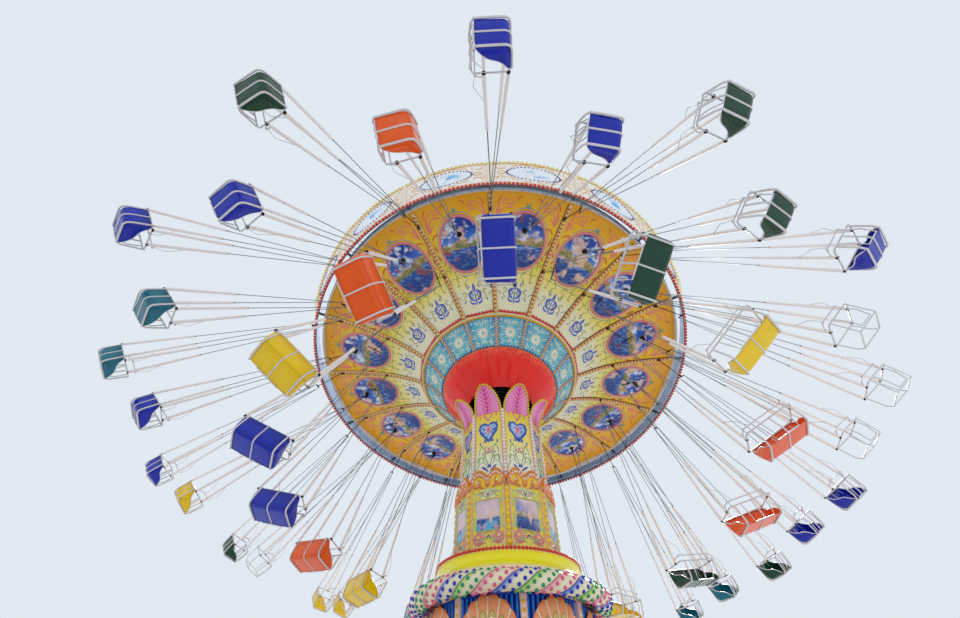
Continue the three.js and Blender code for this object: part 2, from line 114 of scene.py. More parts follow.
# Steps and plinth: checker plate steps with yellow edges round the foot of the drum,
# welded in rings and open in the middle for the turning sleeve's running floor.
TURN = 2 * math.pi
SIDES = 96
PLINTH_PROFILE = [
    (0.3, 0.0), (2.285, 0.0), (2.3, 0.015), (2.3, 0.138), (2.285, 0.152), (2.08, 0.166), (2.06, 0.18),
    (2.06, 0.236), (2.046, 0.25), (1.5, 0.25), (1.0, 0.249), (0.3, 0.249),
]
STEP_EDGES = (2.275, 2.035)


def woven(grid, laid=None, loop_rows=False, loop_columns=False):
    """Joins a grid of points, row by column, with quads; a looped side joins its last line to its first.
    laid holds each point's place on the flat surface in metres, with one line more on a looped side."""
    rows, columns = grid.shape[:2]
    i, j = np.indices((rows - 1 + loop_rows, columns - 1 + loop_columns))
    near, far = i * columns, (i + 1) % rows * columns
    right = (j + 1) % columns
    faces = np.stack([near + j, far + j, far + right, near + right], -1)
    if laid is None:
        laid = 0.1 * np.stack(np.indices((rows + loop_rows, columns + loop_columns)), -1)[..., ::-1]
    corners = np.stack([laid[i, j], laid[i + 1, j], laid[i + 1, j + 1], laid[i, j + 1]], -2)
    return grid.reshape(-1, 3), faces.reshape(-1, 4), corners.reshape(-1, 4, 2)


def lidded(part, columns):
    """Closes both ends of a tube, whose rows are rings of so many columns, with fans to their middles."""
    points, faces, corners = part
    count = len(points)
    ring = np.arange(columns)
    following = (ring + 1) % columns
    last = count - columns
    none = np.full(columns, -1)
    first_fan = np.stack([ring, following, np.full(columns, count), none], -1)
    last_fan = np.stack([last + following, last + ring, np.full(columns, count + 1), none], -1)
    middles = [points[:columns].mean(0), points[last:].mean(0)]
    flat = np.zeros((2 * columns, 4, 2))
    return (
        np.vstack([points, middles]),
        np.vstack([faces, first_fan, last_fan]),
        np.vstack([corners, flat]),
    )


def facing_out(part):
    """Reverses a closed shell's faces where the volume that they enclose comes out negative.
    Each face adds a third of its corners' triple product, a quad as two triangles."""
    points, faces, corners = part
    away = points - points.mean(0)
    four = faces[:, 3] >= 0
    a, b, c, d = (away[faces[:, k]] for k in range(4))
    volume = (a * np.cross(b, c)).sum() + (a * np.cross(c, d))[four].sum()
    if volume > 0:
        return part
    back = np.where(four[:, None], [[3, 2, 1, 0]], [[2, 1, 0, 3]])
    rows = np.arange(len(faces))[:, None]
    return points, faces[rows, back], corners[rows, back]


def stacked(*parts):
    """Points from their x, y and z, each a number or an array, spread to one shape."""
    return np.stack(np.broadcast_arrays(*parts), -1)


def round_axis(reach, angle, height):
    """Points at a reach from the tower's axis and at an angle from the front, which is towards -Y: x is
    the reach times the angle's sine, y minus the reach times its cosine."""
    return stacked(reach * np.sin(angle), -reach * np.cos(angle), height)


def evenly(count, turn=0.0):
    """That many angles, evenly round the tower."""
    return turn + np.arange(count) * TURN / count


def travelled(points):
    """Distance along a line of points, from its first point to each."""
    return np.append(0, np.linalg.norm(np.diff(points, axis=0), axis=1).cumsum())


def turned(profile, sides=SIDES, turn=0.0, closed=True):
    """A profile of (radius, height) carried once round the tower's axis. A closed profile makes a ring; an
    open one has its ends filled in."""
    profile = np.asarray(profile, float)
    grid = round_axis(profile[:, :1], evenly(sides, turn), profile[:, 1:])
    ends = np.vstack([profile, profile[:1]]) if closed else profile
    around = np.arange(sides + 1) * TURN / sides * profile[:, 0].max()
    laid = np.stack(np.meshgrid(around, travelled(ends)), -1)
    part = woven(grid, laid, loop_rows=closed, loop_columns=True)
    return facing_out(part if closed else lidded(part, sides))


def joined(*parts):
    """Several parts as one, their points and faces one after another."""
    starts = np.cumsum([0] + [len(part[0]) for part in parts])
    faces = [np.where(part[1] < 0, -1, part[1] + start) for part, start in zip(parts, starts)]
    return np.vstack([part[0] for part in parts]), np.vstack(faces), np.vstack([part[2] for part in parts])


def piece(name, dressed, body, stands_for=(), crease=38.0):
    """Makes one object from (part, paint) pairs, smooth but for edges sharper than crease degrees,
    and lets it ride on its body in place of the nodes it stands for."""
    points, faces, corners = joined(*(part for part, paint in dressed))
    used = faces >= 0
    sizes = used.sum(1)
    mesh = bpy.data.meshes.new(name)
    mesh.vertices.add(len(points))
    mesh.vertices.foreach_set("co", points.astype(np.float32).ravel())
    mesh.loops.add(int(sizes.sum()))
    mesh.loops.foreach_set("vertex_index", faces[used].astype(np.int32))
    mesh.polygons.add(len(faces))
    mesh.polygons.foreach_set("loop_start", (np.cumsum(sizes) - sizes).astype(np.int32))
    paints = np.repeat(np.arange(len(dressed)), [len(part[1]) for part, paint in dressed])
    mesh.polygons.foreach_set("material_index", paints.astype(np.int32))
    mesh.update(calc_edges=True)
    mesh.uv_layers.new(name="laid").data.foreach_set("uv", corners[used].astype(np.float32).ravel())
    for part, paint in dressed:
        mesh.materials.append(paint)
    mesh.shade_smooth()
    mesh.set_sharp_from_angle(angle=math.radians(crease))
    made = bpy.data.objects.new(name, mesh)
    bpy.context.scene.collection.objects.link(made)
    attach(made, body)
    if stands_for:
        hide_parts(*stands_for)
    return made


class Field:
    """A number that varies over a surface. Arithmetic on it adds the Math nodes that work it out."""

    def __init__(self, tree, socket):
        self.tree = tree
        self.socket = socket

    def math(self, operation, *others):
        node = self.tree.nodes.new("ShaderNodeMath")
        node.operation = operation
        for socket, value in zip(node.inputs, (self, *others)):
            if isinstance(value, Field):
                self.tree.links.new(value.socket, socket)
            else:
                socket.default_value = value
        return Field(self.tree, node.outputs[0])

    def __add__(self, other):
        return self.math("ADD", other)

    def __sub__(self, other):
        return self.math("SUBTRACT", other)

    def __mul__(self, other):
        return self.math("MULTIPLY", other)

    def __truediv__(self, other):
        return self.math("DIVIDE", other)

    def __mod__(self, other):
        return self.math("FLOORED_MODULO", other)

    def __abs__(self):
        return self.math("ABSOLUTE")

    def across(self, other):
        """Length of the slant whose two sides are this number and the other."""
        return (self * self + other * other).math("SQRT")

    def rising(self, low, high):
        """Eases from 0 at low to 1 at high."""
        node = self.tree.nodes.new("ShaderNodeMapRange")
        node.interpolation_type = "SMOOTHSTEP"
        node.inputs["From Min"].default_value = low
        node.inputs["From Max"].default_value = high
        self.tree.links.new(self.socket, node.inputs["Value"])
        return Field(self.tree, node.outputs[0])

    def falling(self, low, high):
        """Eases from 1 at low to 0 at high."""
        return self.rising(low, high) * -1.0 + 1.0

    def between(self, low, high, soft):
        """1 from low to high, with edges that soft."""
        return self.rising(low - soft, low + soft) * self.falling(high - soft, high + soft)


class Finish:
    """A finish laid in coats: a ground colour, patterns over it, then grain, wear and gloss."""

    def __init__(self, name, ground, roughness=0.35, metal=0.0, clear=0.0):
        self.material = bpy.data.materials.new(name)
        self.material.use_nodes = True
        self.tree = self.material.node_tree
        self.shader = self.tree.nodes["Principled BSDF"]
        self.colour = linear(ground)
        self.roughness = roughness
        self.height = None
        self.shader.inputs["Metallic"].default_value = metal
        self.shader.inputs["Coat Weight"].default_value = clear * 0.45
        self.shader.inputs["Specular IOR Level"].default_value = 0.3
        self.shader.inputs["Coat Roughness"].default_value = 0.06

    def node(self, kind, **settings):
        made = self.tree.nodes.new(kind)
        for name, value in settings.items():
            setattr(made, name, value)
        return made

    def place(self, kind="Object"):
        """The surface's x, y and z in metres: Object is its place in the ride, UV its place on a part."""
        split = self.node("ShaderNodeSeparateXYZ")
        source = self.node("ShaderNodeTexCoord")
        self.tree.links.new(source.outputs[kind], split.inputs[0])
        return [Field(self.tree, output) for output in split.outputs]

    def fleck(self, scale, detail=3.0, kind="Object", stretch=(1, 1, 1)):
        """Cloudy variation about one half; a larger scale makes smaller clouds."""
        noise = self.node("ShaderNodeTexNoise")
        noise.inputs["Scale"].default_value = scale
        noise.inputs["Detail"].default_value = detail
        mapping = self.node("ShaderNodeMapping")
        mapping.inputs["Scale"].default_value = stretch
        self.tree.links.new(self.node("ShaderNodeTexCoord").outputs[kind], mapping.inputs[0])
        self.tree.links.new(mapping.outputs[0], noise.inputs["Vector"])
        return Field(self.tree, noise.outputs[0])

    def over(self, colour, where):
        """Lays a colour over the coats so far, where the field is 1."""
        mix = self.node("ShaderNodeMix", data_type="RGBA")
        self.tree.links.new(where.socket, mix.inputs["Factor"])
        if isinstance(self.colour, tuple):
            mix.inputs["A"].default_value = self.colour
        else:
            self.tree.links.new(self.colour, mix.inputs["A"])
        mix.inputs["B"].default_value = linear(colour)
        self.colour = mix.outputs["Result"]
        return self

    def raised(self, field):
        """Adds a height in metres to the finish's relief."""
        self.height = field if self.height is None else self.height + field
        return self

    def worn(self, dirt="5a4630", amount=0.16, grain=420.0, depth=0.00015, scale=1.6):
        """Closes the finish: soft grime in clouds, gloss that varies with it, and a fine grain."""
        cloud = self.fleck(scale, 5.0)
        self.over(dirt, cloud.rising(0.5, 0.85) * amount)
        streak = self.fleck(9.0, 4.0, stretch=(1, 1, 0.15))
        self.over(dirt, streak.rising(0.58, 0.9) * (amount * 0.8))
        self.raised(self.fleck(grain, 2.0) * depth)
        gloss = cloud * 0.18 + (self.roughness - 0.07)
        self.tree.links.new(gloss.socket, self.shader.inputs["Roughness"])
        self.tree.links.new(self.colour, self.shader.inputs["Base Color"])
        bump = self.node("ShaderNodeBump")
        bump.inputs["Distance"].default_value = 1.0
        bump.inputs["Strength"].default_value = 1.0
        self.tree.links.new(self.height.socket, bump.inputs["Height"])
        self.tree.links.new(bump.outputs[0], self.shader.inputs["Normal"])
        return self.material


plate = Finish("tread_plate", "7c8790", 0.45, metal=0.35)
x, y, z = plate.place()
radius = x.across(y)
for edge in STEP_EDGES:
    plate.over("f0b81a", radius.between(edge - 0.028, edge + 0.03, 0.003))
lean, cross = (x + y) * 9.0, (x - y) * 9.0
lozenge = abs((lean % 1.0) - 0.5).falling(0.02, 0.12) * abs((cross % 1.0) - 0.5).falling(0.22, 0.34)
plate.raised(lozenge * 0.0025)
tread_plate = plate.worn("3a342c", 0.45, 260.0)
piece("plinth_steps", [(turned(PLINTH_PROFILE, closed=False), tread_plate)], "base")

# Drum skirt: sixteen raised panels of painted sheet between pilasters, blue with cream stiles
# and gold beading, each with a gilded fleur, closed behind by the drum's inner wall.
DRUM_TURN = math.radians(9)
PANELS = 16
SKIRT_LOW = 0.25
SKIRT_TOP = 1.656
SKIRT_R = 1.41
SKIRT_INSIDE = 1.372
SKIRT_RISE = 0.018
FIELD_HALF = 0.203
FIELD_LOW = 0.38
FIELD_TOP = 1.54
FLEUR_LEVEL = 0.9


def about_axis(angles):
    """Matrices that turn a part built at the front, towards -Y, about the tower's axis by each angle."""
    angles = np.atleast_1d(angles)
    turns = np.zeros((len(angles), 4, 4))
    turns[:, 0, 0] = turns[:, 1, 1] = np.cos(angles)
    turns[:, 1, 0] = np.sin(angles)
    turns[:, 0, 1] = -turns[:, 1, 0]
    turns[:, 2, 2] = turns[:, 3, 3] = 1
    return turns


def placed(part, turns):
    """Copies of a part, one for each matrix, as one part."""
    points, faces, corners = part
    many = np.einsum("kij,nj->kni", turns[:, :3, :3], points) + turns[:, None, :3, 3]
    steps = np.arange(len(turns))[:, None, None] * len(points)
    faces = np.where(faces < 0, -1, faces + steps)
    return many.reshape(-1, 3), faces.reshape(-1, 4), np.tile(corners, (len(turns), 1, 1))


def standing(places, outward):
    """Matrices that stand a part, built up its Z axis, on each place with its top pointing outward, which
    is one direction for all or one for each."""
    outward = np.broadcast_to(np.asarray(outward, float), np.shape(places))
    up = outward / np.linalg.norm(outward, axis=1, keepdims=True)
    other = np.where(abs(up[:, 2:]) > 0.9, [[1.0, 0, 0]], [[0, 0, 1.0]])
    side = np.cross(other, up)
    side /= np.linalg.norm(side, axis=1, keepdims=True)
    turns = np.zeros((len(places), 4, 4))
    turns[:, :3, 0], turns[:, :3, 1], turns[:, :3, 2] = side, np.cross(up, side), up
    turns[:, :3, 3] = places
    turns[:, 3, 3] = 1
    return turns


def dome(radius, height, sides=6, rings=2):
    """A low round-topped stud: rings shrink with the cosine of their angle and rise with its sine."""
    angle = np.arange(rings) / rings * math.pi / 2
    around = evenly(sides)
    reach, level = radius * np.cos(angle)[:, None], height * np.sin(angle)[:, None]
    ring = stacked(reach * np.cos(around), reach * np.sin(around), level)
    points, faces, corners = lidded(woven(ring, loop_columns=True), sides)
    points[-1, 2] = height
    return facing_out((points, faces, corners))


def ball(radius, sides=8, rings=6):
    """A bead: rings whose reach is the sine of their angle from the pole, and level its cosine."""
    angle = (np.arange(1, rings) / rings * math.pi)[:, None]
    around = evenly(sides)
    reach, level = radius * np.sin(angle), radius * np.cos(angle)
    ring = stacked(reach * np.cos(around), reach * np.sin(around), level)
    points, faces, corners = lidded(woven(ring, loop_columns=True), sides)
    points[-2:, 2] = (radius, -radius)
    return facing_out((points, faces, corners))


def ring_of(part, count, radius, height, turn=0.0, outward=(0.0, -1.0, 0.0)):
    """A part stood on a circle round the tower, that many times."""
    first = standing([[0.0, -radius, height]], outward)
    return placed(placed(part, first), about_axis(evenly(count, turn)))


STROKE_STEPS = 12


def strokes(rows, surface, lift):
    """Raised brush strokes. Each row is x, y, heading in degrees, length, bend at the start and at the
    end in radians a metre, and width. The heading grows by the bend summed along the stroke, which
    gives a line, an arc or a scroll; the width swells as a sine from point to point, and the section
    is a low ridge. surface gives a point's place from its x, y and height on the flat pattern."""
    rows = np.asarray(rows, float)
    x, y, heading, length, bend, unbend, width = (column[:, None] for column in rows.T)

    def turning(t):
        return np.radians(heading) + length * (bend * t + (unbend - bend) * t * t / 2)

    at = np.linspace(0, 1, STROKE_STEPS + 1)
    half_way = (at[1:] + at[:-1]) / 2
    step = length / STROKE_STEPS
    none = np.zeros_like(x)
    px = x + np.hstack([none, (np.cos(turning(half_way)) * step).cumsum(1)])
    py = y + np.hstack([none, (np.sin(turning(half_way)) * step).cumsum(1)])
    swell = 0.06 + np.sin(math.pi * at**0.75) ** 0.8
    sx, sy = -np.sin(turning(at)) * width * swell / 2, np.cos(turning(at)) * width * swell / 2
    edge = np.full_like(px, -0.003)
    ridge = surface(px, py, lift)
    points = np.stack([surface(px + sx, py + sy, edge), ridge, surface(px - sx, py - sy, edge)], 2)
    one = woven(points[0], loop_columns=True)
    end = 3 * STROKE_STEPS
    tips = [[0, 1, 2, -1], [end + 2, end + 1, end, -1]]
    faces = np.vstack([one[1], tips])
    corners = np.vstack([one[2], np.zeros((2, 4, 2))])
    count = len(one[0])
    steps = np.arange(len(rows))[:, None, None] * count
    faces = np.where(faces < 0, -1, faces + steps).reshape(-1, 4)
    return facing_out((points.reshape(-1, 3), faces, np.tile(corners, (len(rows), 1, 1))))


def both_ways(rows):
    """The strokes and their mirror images about x = 0."""
    rows = np.asarray(rows, float)
    return np.vstack([rows, rows * [-1, 1, -1, 1, -1, -1, 1] + [0, 0, 180, 0, 0, 0, 0]])


def wider(rows, times):
    """The same strokes with their widths multiplied."""
    return rows * [1, 1, 1, 1, 1, 1, times]


def skirt_radius(across, level):
    """The wall's radius with the panels' own rise, full well inside a frame and sloping off over 30 mm."""
    inside = np.minimum(FIELD_HALF - abs(across), np.minimum(level - FIELD_LOW, FIELD_TOP - level))
    return SKIRT_R + SKIRT_RISE * np.clip(inside / 0.03, 0, 1)


panel_step = TURN / PANELS
columns = np.array([-0.5, -0.39, -0.373, -0.355, -0.3, -0.2, -0.1, 0, 0.1, 0.2, 0.3, 0.355, 0.373, 0.39])
angle = (np.arange(PANELS)[:, None] + columns).ravel() * panel_step
level = np.array([SKIRT_LOW, 0.35, 0.38, 0.395, 0.41, 0.7, 0.96, 1.2, 1.51, 1.525, 1.54, 1.57, SKIRT_TOP])
across = np.tile(columns * panel_step * SKIRT_R, PANELS)
reach = skirt_radius(across, level[:, None])
inner = np.full((2, len(angle)), SKIRT_INSIDE)
reach, level = np.vstack([reach, inner]), np.append(level, [SKIRT_TOP, SKIRT_LOW])
grid = round_axis(reach, angle, level[:, None])
around = np.append(angle, angle[0] + TURN) * SKIRT_R + 0.5 * panel_step * SKIRT_R
laid = np.stack(np.meshgrid(around, np.append(level, level[0])), -1)
skirt = facing_out(woven(grid, laid, loop_rows=True, loop_columns=True))

skirt_coat = Finish("skirt_paint", "f3ead2", 0.3, clear=0.5)
x, y, z = skirt_coat.place("UV")
side = abs((x % (panel_step * SKIRT_R)) - panel_step * SKIRT_R / 2)
inside = (side * -1.0 + 0.193).math("MINIMUM", (y - 0.395).math("MINIMUM", y * -1.0 + 1.525))
skirt_coat.over("d9a02c", inside.between(-0.034, 0.008, 0.004))
skirt_coat.over("2247ad", inside.rising(0.007, 0.011))
skirt_coat.over("16317e", inside.rising(0.0, 0.4) * y.falling(0.6, 1.3))
skirt_coat.over("e9c35a", inside.between(0.03, 0.038, 0.002))
skirt_coat.over("b8452e", side.rising(0.254, 0.258))
skirt_coat.over("f0cf68", side.rising(0.264, 0.268))
skirt_paint = skirt_coat.worn("4a3a2a", 0.3)

gold_leaf = Finish("gold_leaf", "e2ab33", 0.28, metal=0.25, clear=0.5).worn("7a4a12", 0.35)
red_gloss = Finish("red_gloss", "dc3a22", 0.22, clear=0.8).worn("6a1408", 0.2)
blue_gloss = Finish("blue_gloss", "1d46b8", 0.2, clear=0.8).worn("0a1c50", 0.2)
cream_gloss = Finish("cream_gloss", "f6ead0", 0.28, clear=0.6).worn("8a6c48", 0.25)

FLEUR = both_ways([
    (0.01, 0.02, 90, 0.3, 0.0, -1.0, 0.05), (0.015, 0.0, 55, 0.24, 2.0, -16.0, 0.045),
    (0.015, -0.03, 15, 0.2, 3.0, -22.0, 0.04), (0.01, -0.05, -70, 0.18, 2.0, 12.0, 0.03),
    (0.1, 0.19, 80, 0.1, 4.0, 8.0, 0.035),
])


def on_skirt(px, py, lift):
    """A skirt panel's face: x runs round the drum and y is height above the fleur's middle."""
    return round_axis(SKIRT_R + SKIRT_RISE + lift, px / SKIRT_R, py + FLEUR_LEVEL)


skirt_fleur = strokes(FLEUR * [0.95, 1.15, 1, 1.0, 1.0, 1.0, 1.2], on_skirt, 0.008)
skirt_fleur = placed(skirt_fleur, about_axis(evenly(PANELS)))
piece("drum_skirt", [(skirt, skirt_paint), (skirt_fleur, gold_leaf)], "base", ("base_drum",))

# Ledge and top ring of the drum: turned cream mouldings with a row of gilt beads under
# the drapery, and the flat ring that the garland is seated on.
LEDGE_PROFILE = [
    (1.372, 1.658), (1.43, 1.658), (1.437, 1.672), (1.455, 1.684), (1.474, 1.7), (1.479, 1.712),
    (1.479, 1.782), (1.47, 1.794), (1.44, 1.806), (1.43, 1.826), (1.414, 1.846), (1.4, 1.862),
    (1.372, 1.862),
]
TOP_PROFILE = [
    (1.345, 3.534), (1.42, 3.534), (1.43, 3.538), (1.432, 3.559), (1.345, 3.559),
]
ledge = turned(LEDGE_PROFILE)
top_ring = turned(TOP_PROFILE)
ledge_beads = ring_of(dome(0.026, 0.007, 8), 128, 1.477, 1.747)
piece(
    "drum_ledge", [(ledge, cream_gloss), (top_ring, blue_gloss), (ledge_beads, gold_leaf)],
    "base",
)

# Drapery behind the shells: one moulded shell in deep blue gloss, pleated all round,
# its folds gathered under the top ring and flaring a little towards the ledge. Painted shade
# darkens the fold hollows and a painted highlight lightens the fold crests.
PLEATS = 104
DRAPE_LOW = 1.86
DRAPE_TOP = 3.536
DRAPE_R = 1.365
DRAPE_INSIDE = 1.345
angle = evenly(PLEATS * 6)
level = np.linspace(0, 1, 15)[:, None]
sway = 0.25 * np.sin(8 * angle) * level + 0.5 * np.sin(3.0 * level + 5 * angle)
fold = abs(np.sin(PLEATS * angle / 2 + sway)) ** 1.3
swag = 0.02 * abs(np.sin(4 * (angle - DRUM_TURN))) * (1 - level)
reach = DRAPE_R + (0.03 + 0.022 * level) * fold + swag
reach = np.vstack([reach, np.full((2, len(angle)), DRAPE_INSIDE)])
height = np.append(DRAPE_LOW + (DRAPE_TOP - DRAPE_LOW) * level, [DRAPE_TOP, DRAPE_LOW])
drapery = facing_out(woven(round_axis(reach, angle, height[:, None]), None, True, True))
drape_coat = Finish("drapery_paint", "1440b4", 0.26, clear=0.7)
x, y, z = drape_coat.place()
depth = x.across(y)
# Painted shade in the fold hollows, then a painted highlight on the fold crests.
drape_coat.over("0a1f6e", depth.falling(1.366, 1.384))
drape_coat.over("2b8cf0", depth.rising(1.392, 1.408))
piece("drapery", [(drapery, drape_coat.worn("081540", 0.25))], "base")

# Scallop shells: eight moulded shells bulging out between the posts, peach at the rim, with
# cream and gold scalloped bands and a deep orange heart, bolted to the ledge at their hinge.
SHELL_FOOT = 2.36
SHELL_CENTRE = 3.085
SHELL_ROUND = 0.462
SHELL_FAN = math.radians(40.6)
SHELL_HALF = 0.5
SHELL_R = 1.398
FLUTES = 8
POSTS = 8


def plated(grid, thickness, laid=None):
    """Gives a sheet of points a wall: a second sheet set back square to the first, all edges closed.
    Seen from outside its columns run right and its rows up, and their cross product points outwards."""
    rows, columns = grid.shape[:2]
    slope = np.cross(np.gradient(grid, axis=1), np.gradient(grid, axis=0))
    slope /= np.linalg.norm(slope, axis=-1, keepdims=True) + 1e-12
    back = grid - slope * thickness
    ring = np.concatenate([grid, back[:, ::-1]], 1)
    if laid is None:
        laid = 0.1 * np.stack(np.indices((rows, columns)), -1)[..., ::-1]
    both_laid = np.concatenate([laid, laid[:, ::-1], laid[:, :1]], 1)
    points, faces, corners = woven(ring, both_laid, loop_columns=True)
    j = np.arange(columns - 1)
    many = 2 * columns
    last = (rows - 1) * many
    first_edge = np.stack([j, j + 1, many - 2 - j, many - 1 - j], -1)
    last_edge = last + np.stack([j + 1, j, many - 1 - j, many - 2 - j], -1)
    sides = np.vstack([first_edge, last_edge])
    flat = np.concatenate([laid, laid[:, ::-1]], 1).reshape(-1, 2)
    return facing_out((points, np.vstack([faces, sides]), np.concatenate([corners, flat[sides]])))


fan = np.linspace(-1, 1, FLUTES * 8 + 1)
out = np.linspace(0.03, 1, 26)[:, None]
fan_angle = fan * SHELL_FAN
scallop = abs(np.sin(FLUTES * math.pi * fan / 2)) ** 0.8
rise = SHELL_CENTRE - SHELL_FOOT
off_axis = np.clip(rise * abs(np.sin(fan_angle)), 0, SHELL_ROUND)
length = rise * np.cos(fan_angle) + np.sqrt(SHELL_ROUND**2 - off_axis**2)
length = length * (0.972 + 0.028 * scallop)
px = out * length * np.sin(fan_angle)
pz = SHELL_FOOT + out * length * np.cos(fan_angle)
off = (px / SHELL_HALF) ** 2
bulge = 0.11 * np.sin(math.pi * (0.1 + 0.74 * out)) * (1 - 0.75 * off) + 0.026 * scallop * out
shell_grid = stacked(px, -(SHELL_R + bulge - 0.05 * off), pz)
shell_laid = stacked(fan, out)
shell_turn = DRUM_TURN + math.pi / POSTS
shell = placed(plated(shell_grid, 0.018, shell_laid), about_axis(evenly(POSTS, shell_turn)))
shell_coat = Finish("shell_paint", "f9a066", 0.2, clear=0.9)
x, y, z = shell_coat.place("UV")
flute = abs(((x * (FLUTES / 2)) % 1.0) - 0.5)
shell_coat.over("f07a34", y.rising(0.95, 0.99) * flute.falling(0.2, 0.4))
shell_coat.over("fff3d8", flute.rising(0.43, 0.47) * y.rising(0.7, 0.8))
arch = y + (flute * flute) * 0.42
BANDS = (
    (0.83, "b9973f"), (0.8, "d3bd6c"), (0.74, "fff6dc"), (0.7, "f4731c"),
    (0.46, "b9973f"), (0.43, "fff6dc"), (0.4, "f9a066"), (0.2, "e8571a"),
)
for band, colour in BANDS:
    shell_coat.over(colour, arch.falling(band - 0.006, band + 0.006))
shell_coat.over("d8410f", arch.between(0.47, 0.6, 0.05) * flute.falling(0.2, 0.4) * 0.6)
shell_paint = shell_coat.worn("a04a20", 0.2)
hinge = ring_of(dome(0.085, 0.04, 16, 4), POSTS, 1.44, SHELL_FOOT + 0.05, shell_turn)
piece("scallop_shells", [(shell, shell_paint), (hinge, gold_leaf)], "base")

# Posts: eight square posts between the shells, pink white with grooved edges, with a row
# of yellow rosettes nailed up the front and a small foot and cap.
POST_FRONT = 1.468
POST_LEVELS = (1.79, 1.83, 1.9, 1.93, 3.48, 3.5, 3.55, 3.559)


def carried(path, outline, upright, scale=None, closed=False):
    """Carries a cross-section along a path. Each ring stands square to the path: its first axis is the
    cross product of the path's direction and upright, its second keeps as near as it can to upright."""
    path, outline = np.asarray(path, float), np.asarray(outline, float)
    if closed:
        along = np.roll(path, -1, 0) - np.roll(path, 1, 0)
    else:
        along = np.gradient(path, axis=0)
    along /= np.linalg.norm(along, axis=1, keepdims=True)
    side = np.cross(along, np.broadcast_to(upright, along.shape))
    side /= np.linalg.norm(side, axis=1, keepdims=True)
    up = np.cross(side, along)
    size = np.ones((len(path), 1, 1)) if scale is None else np.reshape(scale, (len(path), 1, -1))
    shape = outline[None] * size
    grid = path[:, None] + shape[..., :1] * side[:, None] + shape[..., 1:] * up[:, None]
    ends = np.vstack([path, path[:1]]) if closed else path
    laid = np.stack(np.meshgrid(travelled(np.vstack([outline, outline[:1]])), travelled(ends)), -1)
    part = woven(grid, laid, loop_rows=closed, loop_columns=True)
    return facing_out(part if closed else lidded(part, len(outline)))


def circle(radius, sides=8):
    """Points of a round cross-section."""
    angle = evenly(sides)
    return radius * np.stack([np.cos(angle), np.sin(angle)], -1)


def oblong(half_wide, half_high):
    """Points of a rectangular cross-section."""
    return np.array([(-1, -1), (1, -1), (1, 1), (-1, 1)]) * (half_wide, half_high)


post_outline = [
    (-0.055, -0.115), (0.055, -0.115), (0.055, -0.018), (0.047, -0.01), (0.044, -0.016), (0.038, 0.0),
    (0.03, 0.0), (0.026, -0.008), (-0.026, -0.008), (-0.03, 0.0), (-0.038, 0.0), (-0.044, -0.016),
    (-0.047, -0.01), (-0.055, -0.018),
]
post_path = round_axis(POST_FRONT, 0.0, POST_LEVELS)
post_size = [(1.2, 1), (1.2, 1), (1.2, 1), (1, 1), (1, 1), (1.12, 1), (1.12, 1), (1.12, 1)]
post = carried(post_path, post_outline, (0, -1, 0), post_size)
rosette_levels = np.arange(2.02, 3.5, 0.118)
petal_rows = [(0.0, 0.0, turn, 0.042, 0.0, 0.0, 0.03) for turn in range(0, 360, 60)]


def on_post(px, py, lift):
    """The post's front face, x across and y up from its lowest rosette."""
    return np.stack([px, np.full_like(px, -POST_FRONT + 0.008) - lift, py + rosette_levels[0]], -1)


rosette = strokes(petal_rows, on_post, 0.01)
climb = np.tile(np.eye(4), (len(rosette_levels), 1, 1))
climb[:, 2, 3] = rosette_levels - rosette_levels[0]
post_turns = about_axis(evenly(POSTS, DRUM_TURN))
posts = placed(post, post_turns)
rosettes = placed(placed(rosette, climb), post_turns)
post_paint = Finish("post_paint", "fbd8cc", 0.3, clear=0.6).worn("c08070", 0.2, scale=4.0)
yellow_gloss = Finish("yellow_gloss", "f7c921", 0.22, clear=0.8).worn("a86a08", 0.25)
piece("shell_posts", [(posts, post_paint), (rosettes, yellow_gloss)], "base")

# Garland: a thick moulded ring like a twisted rope of 30 strands, cream, each strand tinted
# blue, green or pink and studded with two rows of glossy jewels of its own colour.
GARLAND_R = 1.7
GARLAND_TUBE = 0.16
GARLAND_HEIGHT = 3.66
STRANDS = 30
STRAND_TWIST = 3
JEWELS_PER_ROW = 12
STRAND_STEPS = 12
GIRTH_STEPS = 40
STRAND_PAINTS = (("2f7fe8", "142c9c", 0.9), ("a2d832", "3f9f4c", 0.9), ("f59ab0", "e85a86", 0.75))


def on_garland(strand, girth, lift=0.0):
    """The rope's surface: strand counts round the ring and girth round the tube, and each strand shifts
    by STRAND_TWIST for a turn of the tube, whose radius falls by a tenth in the crease between strands."""
    crease = abs(strand % 1.0 * 2 - 1) ** 5
    tube = GARLAND_TUBE * (1 - 0.11 * crease) + lift
    angle = (strand + STRAND_TWIST * girth) * TURN / STRANDS
    reach = GARLAND_R + tube * np.cos(girth * TURN)
    return round_axis(reach, angle, GARLAND_HEIGHT + tube * np.sin(girth * TURN))


around = STRANDS * STRAND_STEPS
shift = STRAND_TWIST * STRAND_STEPS
own_points = GIRTH_STEPS * around
girth = np.arange(GIRTH_STEPS + 1) / GIRTH_STEPS
rope_laid = np.stack(np.meshgrid(np.arange(around + 1) / STRAND_STEPS, girth), -1)
rope_grid = on_garland(np.arange(around) / STRAND_STEPS, girth[:-1, None])
closing_row = np.roll(rope_grid[:1], -shift, 1)
points, faces, corners = woven(np.concatenate([rope_grid, closing_row]), rope_laid, False, True)
faces = np.where(faces >= own_points, (faces - own_points + shift) % around, faces)
rope = facing_out((points[:own_points], faces, corners))
garland_coat = Finish("garland_paint", "f7ecc4", 0.24, clear=0.8)
x, y, z = garland_coat.place("UV")
kind = (x % 3.0).math("FLOOR")
within = x % 1.0
for number, (colour, deep, share) in enumerate(STRAND_PAINTS):
    own = abs(kind - float(number)).falling(0.3, 0.6)
    garland_coat.over(colour, own * within.falling(0.02, 0.5) * share)
    garland_coat.over(deep, own * (within.rising(0.9, 0.99) + within.falling(0.02, 0.1)) * 0.8)
